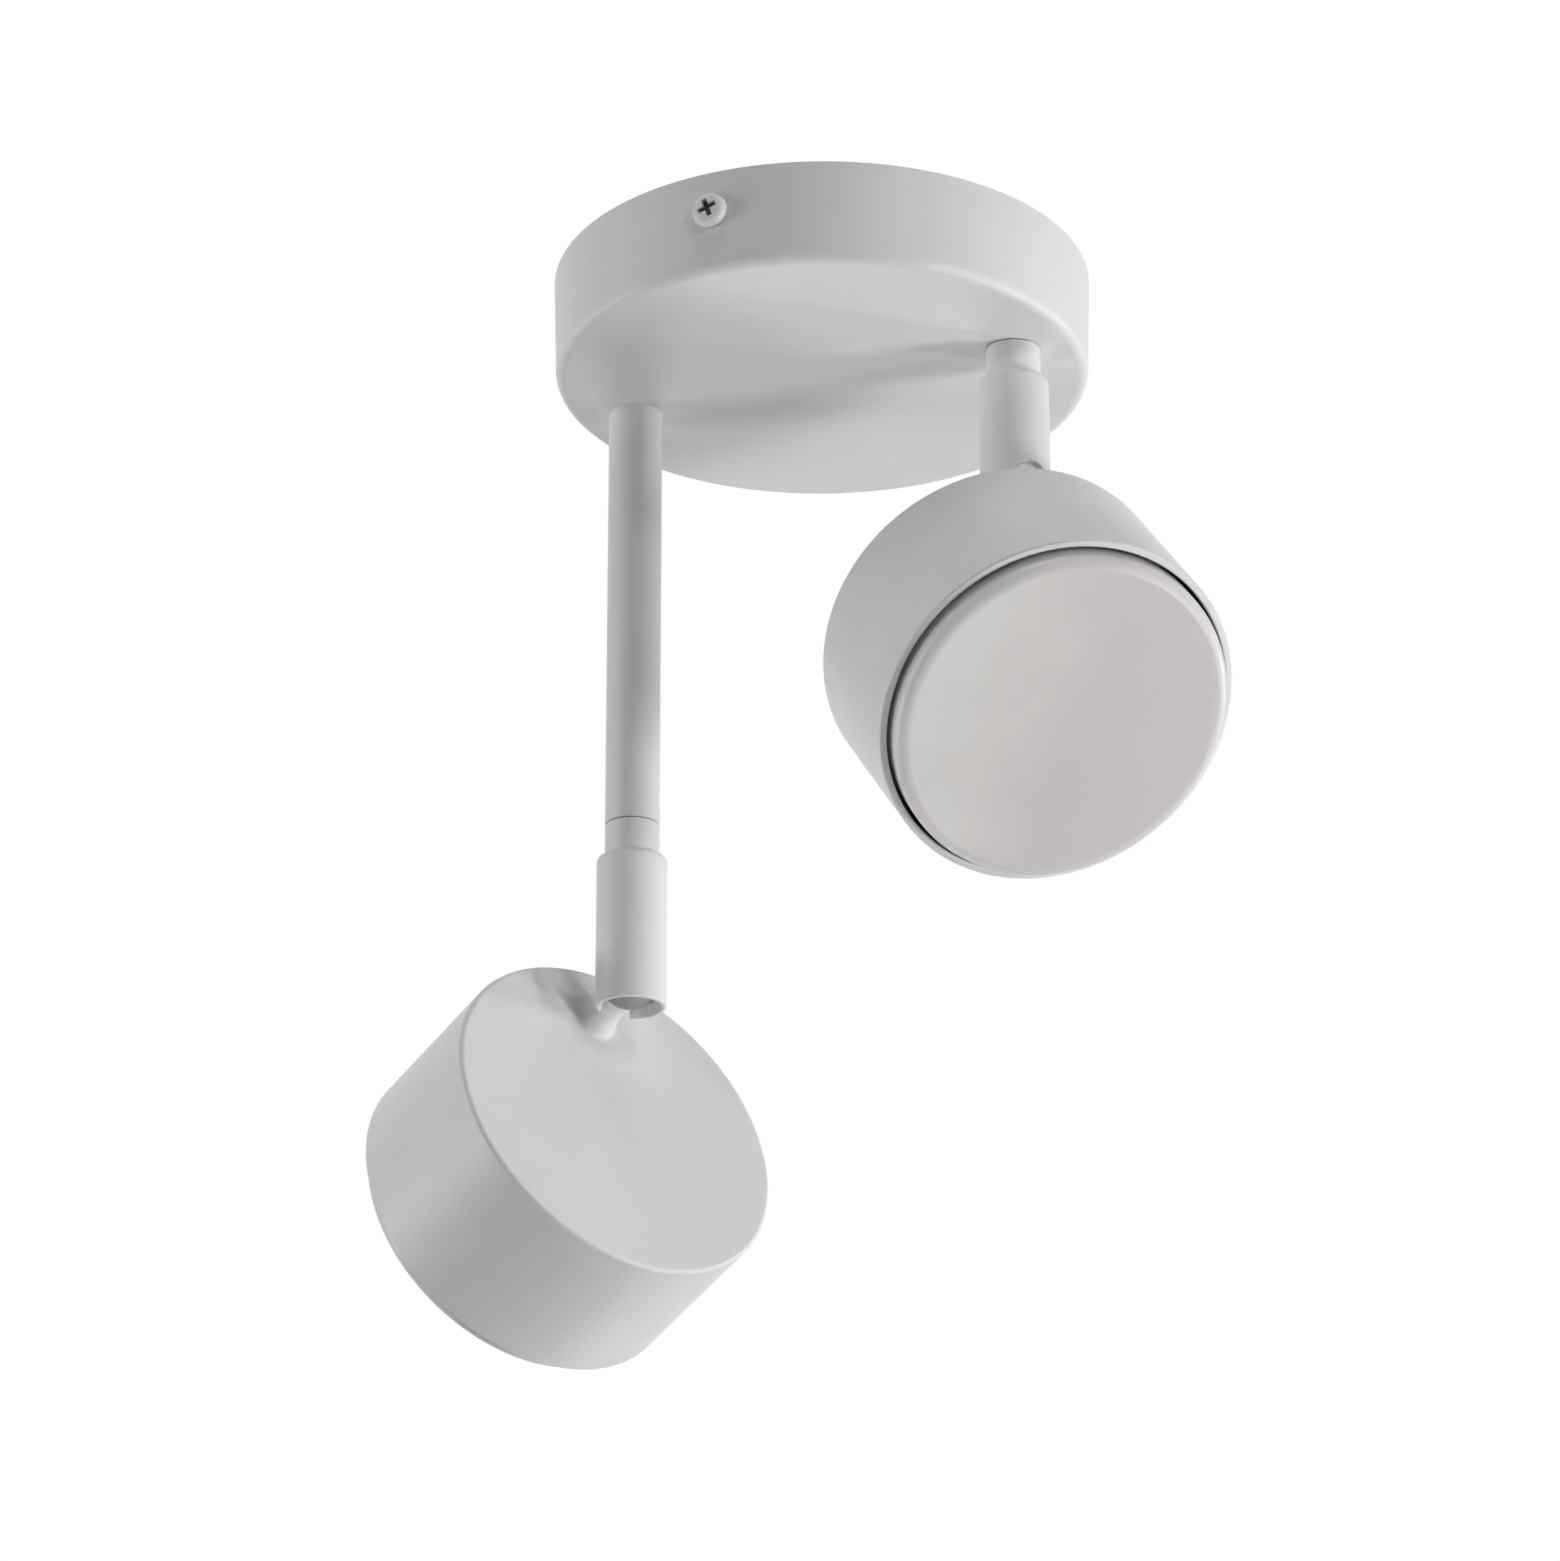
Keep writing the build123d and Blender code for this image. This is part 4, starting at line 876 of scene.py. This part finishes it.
class SPOTLIGHT_OT_fasteners(bpy.types.Operator):
    """Make the side screws, the canopy's nuts and the hollow threads with their real threads and chamfers"""

    bl_idname = "spotlight.fasteners"
    bl_label = "Screws, nuts and nipples"

    def execute(self, context):
        spotlight = context.scene.spotlight
        sizes, metal = spotlight.fasteners, spotlight.metal
        screw = screw_shell(sizes)
        near = side_screw_place() @ Matrix.Translation((0, 0, -sizes.head_height))
        both = [moved(screw, turn @ near @ Matrix.Rotation(sizes.recess_turn, 4, "Z"))
                for turn in (Matrix.Identity(4), Matrix.Rotation(math.pi, 4, "Z"))]
        coat = coated_screw("coat_screws", spotlight.paint)
        screws = make_piece("side_screws", both, coat, "canopy", ["canopy_screws"])
        # The recess attribute holds each point's share of painted shade.
        depth = screws.data.attributes.new("recess", "FLOAT", "POINT")
        depth.data.foreach_set("value", np.tile(recess_shade_share(sizes, screw[0]), 2))
        zinc = plated("thread_plate", metal.zinc, metal.zinc_dull, grain=1.2)
        places = [Matrix.Translation(JOINTS[f"{arm}_pan"]["pos_m"][:2] + [0]) for arm in ARMS]
        nut = nut_shell(sizes.nut_flats, sizes.nipple_radius + sizes.nut_play, NUT_LOW.z, NUT_HIGH.z)
        nuts = [moved(nut, place) for place in places]
        make_piece("canopy_nuts", nuts, zinc, "canopy", ["nipple_nuts"])
        thread = moved(nipple_shell(sizes, STEM_NIPPLE_LOW.z, STEM_NIPPLE_HIGH.z), places[0])
        make_piece("stem_thread", [thread], zinc, "canopy", ["stem_nipple"])
        low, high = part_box("short_pivot_nipple")
        pivot = moved(nipple_shell(sizes, low.z, high.z, (high.y - low.y) / 2), places[1])
        make_piece("short_pivot_thread", [pivot], zinc, "canopy", ["short_pivot_nipple"])
        return {"FINISHED"}


class SPOTLIGHT_OT_leads(bpy.types.Operator):
    """Finish the silicone leads"""

    bl_idname = "spotlight.leads"
    bl_label = "Leads"

    def execute(self, context):
        settings = context.scene.spotlight.metal
        shade = shaded(settings.lead, 0.92)
        lead = moulded("lead_silicone", settings.lead, shade, gloss=0.42, cloud=5.0, grain=0.25)
        finish_nodes(lead, *each_arm("arm_leads", "head_leads"))
        finish_nodes(two_tone_lead("earth_silicone", settings), "earth_lead")
        return {"FINISHED"}


def soft_lamp(name, turn, rise, away, side, watts, aim):
    """A square lamp at a turn and rise in degrees round a point and a distance from it, aimed at it."""
    a, e = math.radians(turn), math.radians(rise)
    back = Vector((math.sin(a) * math.cos(e), -math.cos(a) * math.cos(e), math.sin(e)))
    light = bpy.data.lights.new(name, "AREA")
    light.size = side
    light.energy = watts
    lamp = bpy.data.objects.new(name, light)
    bpy.context.scene.collection.objects.link(lamp)
    aimed = (-back).to_track_quat("-Z", "Y").to_matrix().to_4x4()
    lamp.matrix_world = Matrix.Translation(aim + back * away) @ aimed


def seen_directly(tree):
    """1 for light that the camera, a gloss or a clear piece sees, 0 for light that falls on the object."""
    path = put(tree, "ShaderNodeLightPath").outputs
    either = calc(tree, "MAXIMUM", path["Is Camera Ray"], path["Is Glossy Ray"])
    return calc(tree, "MAXIMUM", either, path["Is Transmission Ray"])


class SPOTLIGHT_OT_stage(bpy.types.Operator):
    """Set up the camera, soft lamps, white background and floor"""

    bl_idname = "spotlight.stage"
    bl_label = "Stage"

    def execute(self, context):
        settings = context.scene.spotlight.stage
        aim = Vector(settings.camera_aim)
        self.camera(context, settings, aim)
        for name, place in LAMPS.items():
            soft_lamp(f"{name}_lamp", *place, getattr(settings, f"{name}_power"), aim)
        self.background(context)
        self.floor(context, settings)
        context.scene.view_settings.view_transform = "Standard"
        return {"FINISHED"}

    def camera(self, context, settings, aim):
        """Camera at a turn, rise, roll and distance from its aim."""
        turn, rise = settings.camera_turn, settings.camera_rise
        back = Vector((math.sin(turn) * math.cos(rise), -math.cos(turn) * math.cos(rise), math.sin(rise)))
        right = Vector((math.cos(turn), math.sin(turn), 0))
        axes = Matrix((right, back.cross(right), back)).transposed().to_4x4()
        data = bpy.data.cameras.new("photo_camera")
        data.lens = settings.lens
        data.clip_start = 0.01
        camera = bpy.data.objects.new("photo_camera", data)
        context.scene.collection.objects.link(camera)
        roll = Matrix.Rotation(settings.camera_roll, 4, "Z")
        camera.matrix_world = Matrix.Translation(aim + back * settings.camera_distance) @ axes @ roll
        context.scene.camera = camera

    def background(self, context):
        """White where the camera, a gloss or a clear piece sees it, and no light for all else."""
        world = bpy.data.worlds.new("studio")
        world.use_nodes = True
        tree = world.node_tree
        tree.nodes.clear()
        white = put(tree, "ShaderNodeBackground", {"Color": (1, 1, 1, 1), "Strength": seen_directly(tree)})
        put(tree, "ShaderNodeOutputWorld", {"Surface": white.outputs[0]})
        context.scene.world = world

    def floor(self, context, settings):
        """Wide pale floor that is clear from below: x and y are an even grid, z is the floor's depth.

        It glows only where it is seen, so that it stays pale without lighting the object, and for the camera
        it fades to white far out.
        """
        line = np.linspace(-FLOOR_SIDE / 2, FLOOR_SIDE / 2, FLOOR_POINTS)
        x, y = np.meshgrid(line, line)
        grid = np.stack([x, y, np.full_like(x, -settings.floor_drop)], axis=-1)
        mesh = bpy.data.meshes.new("floor")
        mesh.from_pydata(grid.reshape(-1, 3), [], quad_index(FLOOR_POINTS, FLOOR_POINTS).tolist())
        floor = bpy.data.objects.new("floor", mesh)
        context.scene.collection.objects.link(floor)
        shade = shaded(settings.floor, 0.97)
        material = moulded("studio_floor", settings.floor, shade, gloss=0.75, cloud=400.0, grain=2.0)
        tree = material.node_tree
        shader = first_node(tree, "ShaderNodeBsdfPrincipled")
        where = put(tree, "ShaderNodeTexCoord").outputs["Object"]
        away = put(tree, "ShaderNodeVectorMath", {0: where}, operation="LENGTH").outputs["Value"]
        fade = settings.floor_fade
        lift = ramp(tree, away, 0.2 * fade, fade, 0.0, 1.0 - settings.floor_glow)
        white = calc(tree, "MULTIPLY", put(tree, "ShaderNodeLightPath").outputs["Is Camera Ray"], lift)
        glow = calc(tree, "MULTIPLY_ADD", seen_directly(tree), settings.floor_glow, white)
        tree.links.new(glow, shader.inputs["Emission Strength"])
        behind = put(tree, "ShaderNodeNewGeometry").outputs["Backfacing"]
        clear = put(tree, "ShaderNodeBsdfTransparent")
        sides = {0: behind, 1: shader.outputs[0], 2: clear.outputs[0]}
        one_sided = put(tree, "ShaderNodeMixShader", sides)
        output = first_node(tree, "ShaderNodeOutputMaterial")
        tree.links.new(one_sided.outputs[0], output.inputs["Surface"])
        mesh.materials.append(material)


STEPS = (
    SPOTLIGHT_OT_canopy,
    SPOTLIGHT_OT_arms,
    SPOTLIGHT_OT_heads,
    SPOTLIGHT_OT_lamps,
    SPOTLIGHT_OT_metalwork,
    SPOTLIGHT_OT_fasteners,
    SPOTLIGHT_OT_leads,
    SPOTLIGHT_OT_stage,
)


class SPOTLIGHT_PT_panel(bpy.types.Panel):
    """Lists the steps and settings of the spotlight"""

    bl_idname = "SPOTLIGHT_PT_panel"
    bl_label = "Ceiling spotlight"
    bl_space_type = "VIEW_3D"
    bl_region_type = "UI"
    bl_category = "Spotlight"

    def draw(self, context):
        for step in STEPS:
            self.layout.operator(step.bl_idname)
        spotlight = context.scene.spotlight
        for group in (spotlight.paint, spotlight.lamp, spotlight.metal, spotlight.fasteners, spotlight.stage):
            box = self.layout.box()
            for key in group.bl_rna.properties.keys():
                if key not in {"rna_type", "name"}:
                    box.prop(group, key)


CLASSES = (
    PaintSettings,
    LampSettings,
    MetalSettings,
    FastenerSettings,
    StageSettings,
    SpotlightSettings,
    *STEPS,
    SPOTLIGHT_PT_panel,
)


def register():
    for item in CLASSES:
        bpy.utils.register_class(item)
    bpy.types.Scene.spotlight = PointerProperty(type=SpotlightSettings)


def unregister():
    del bpy.types.Scene.spotlight
    for item in reversed(CLASSES):
        bpy.utils.unregister_class(item)


def main():
    """Builds the whole spotlight and its stage."""
    register()
    bpy.ops.spotlight.canopy()
    bpy.ops.spotlight.arms()
    bpy.ops.spotlight.heads()
    bpy.ops.spotlight.lamps()
    bpy.ops.spotlight.metalwork()
    bpy.ops.spotlight.fasteners()
    bpy.ops.spotlight.leads()
    bpy.ops.spotlight.stage()


if __name__ == "__main__":
    main()
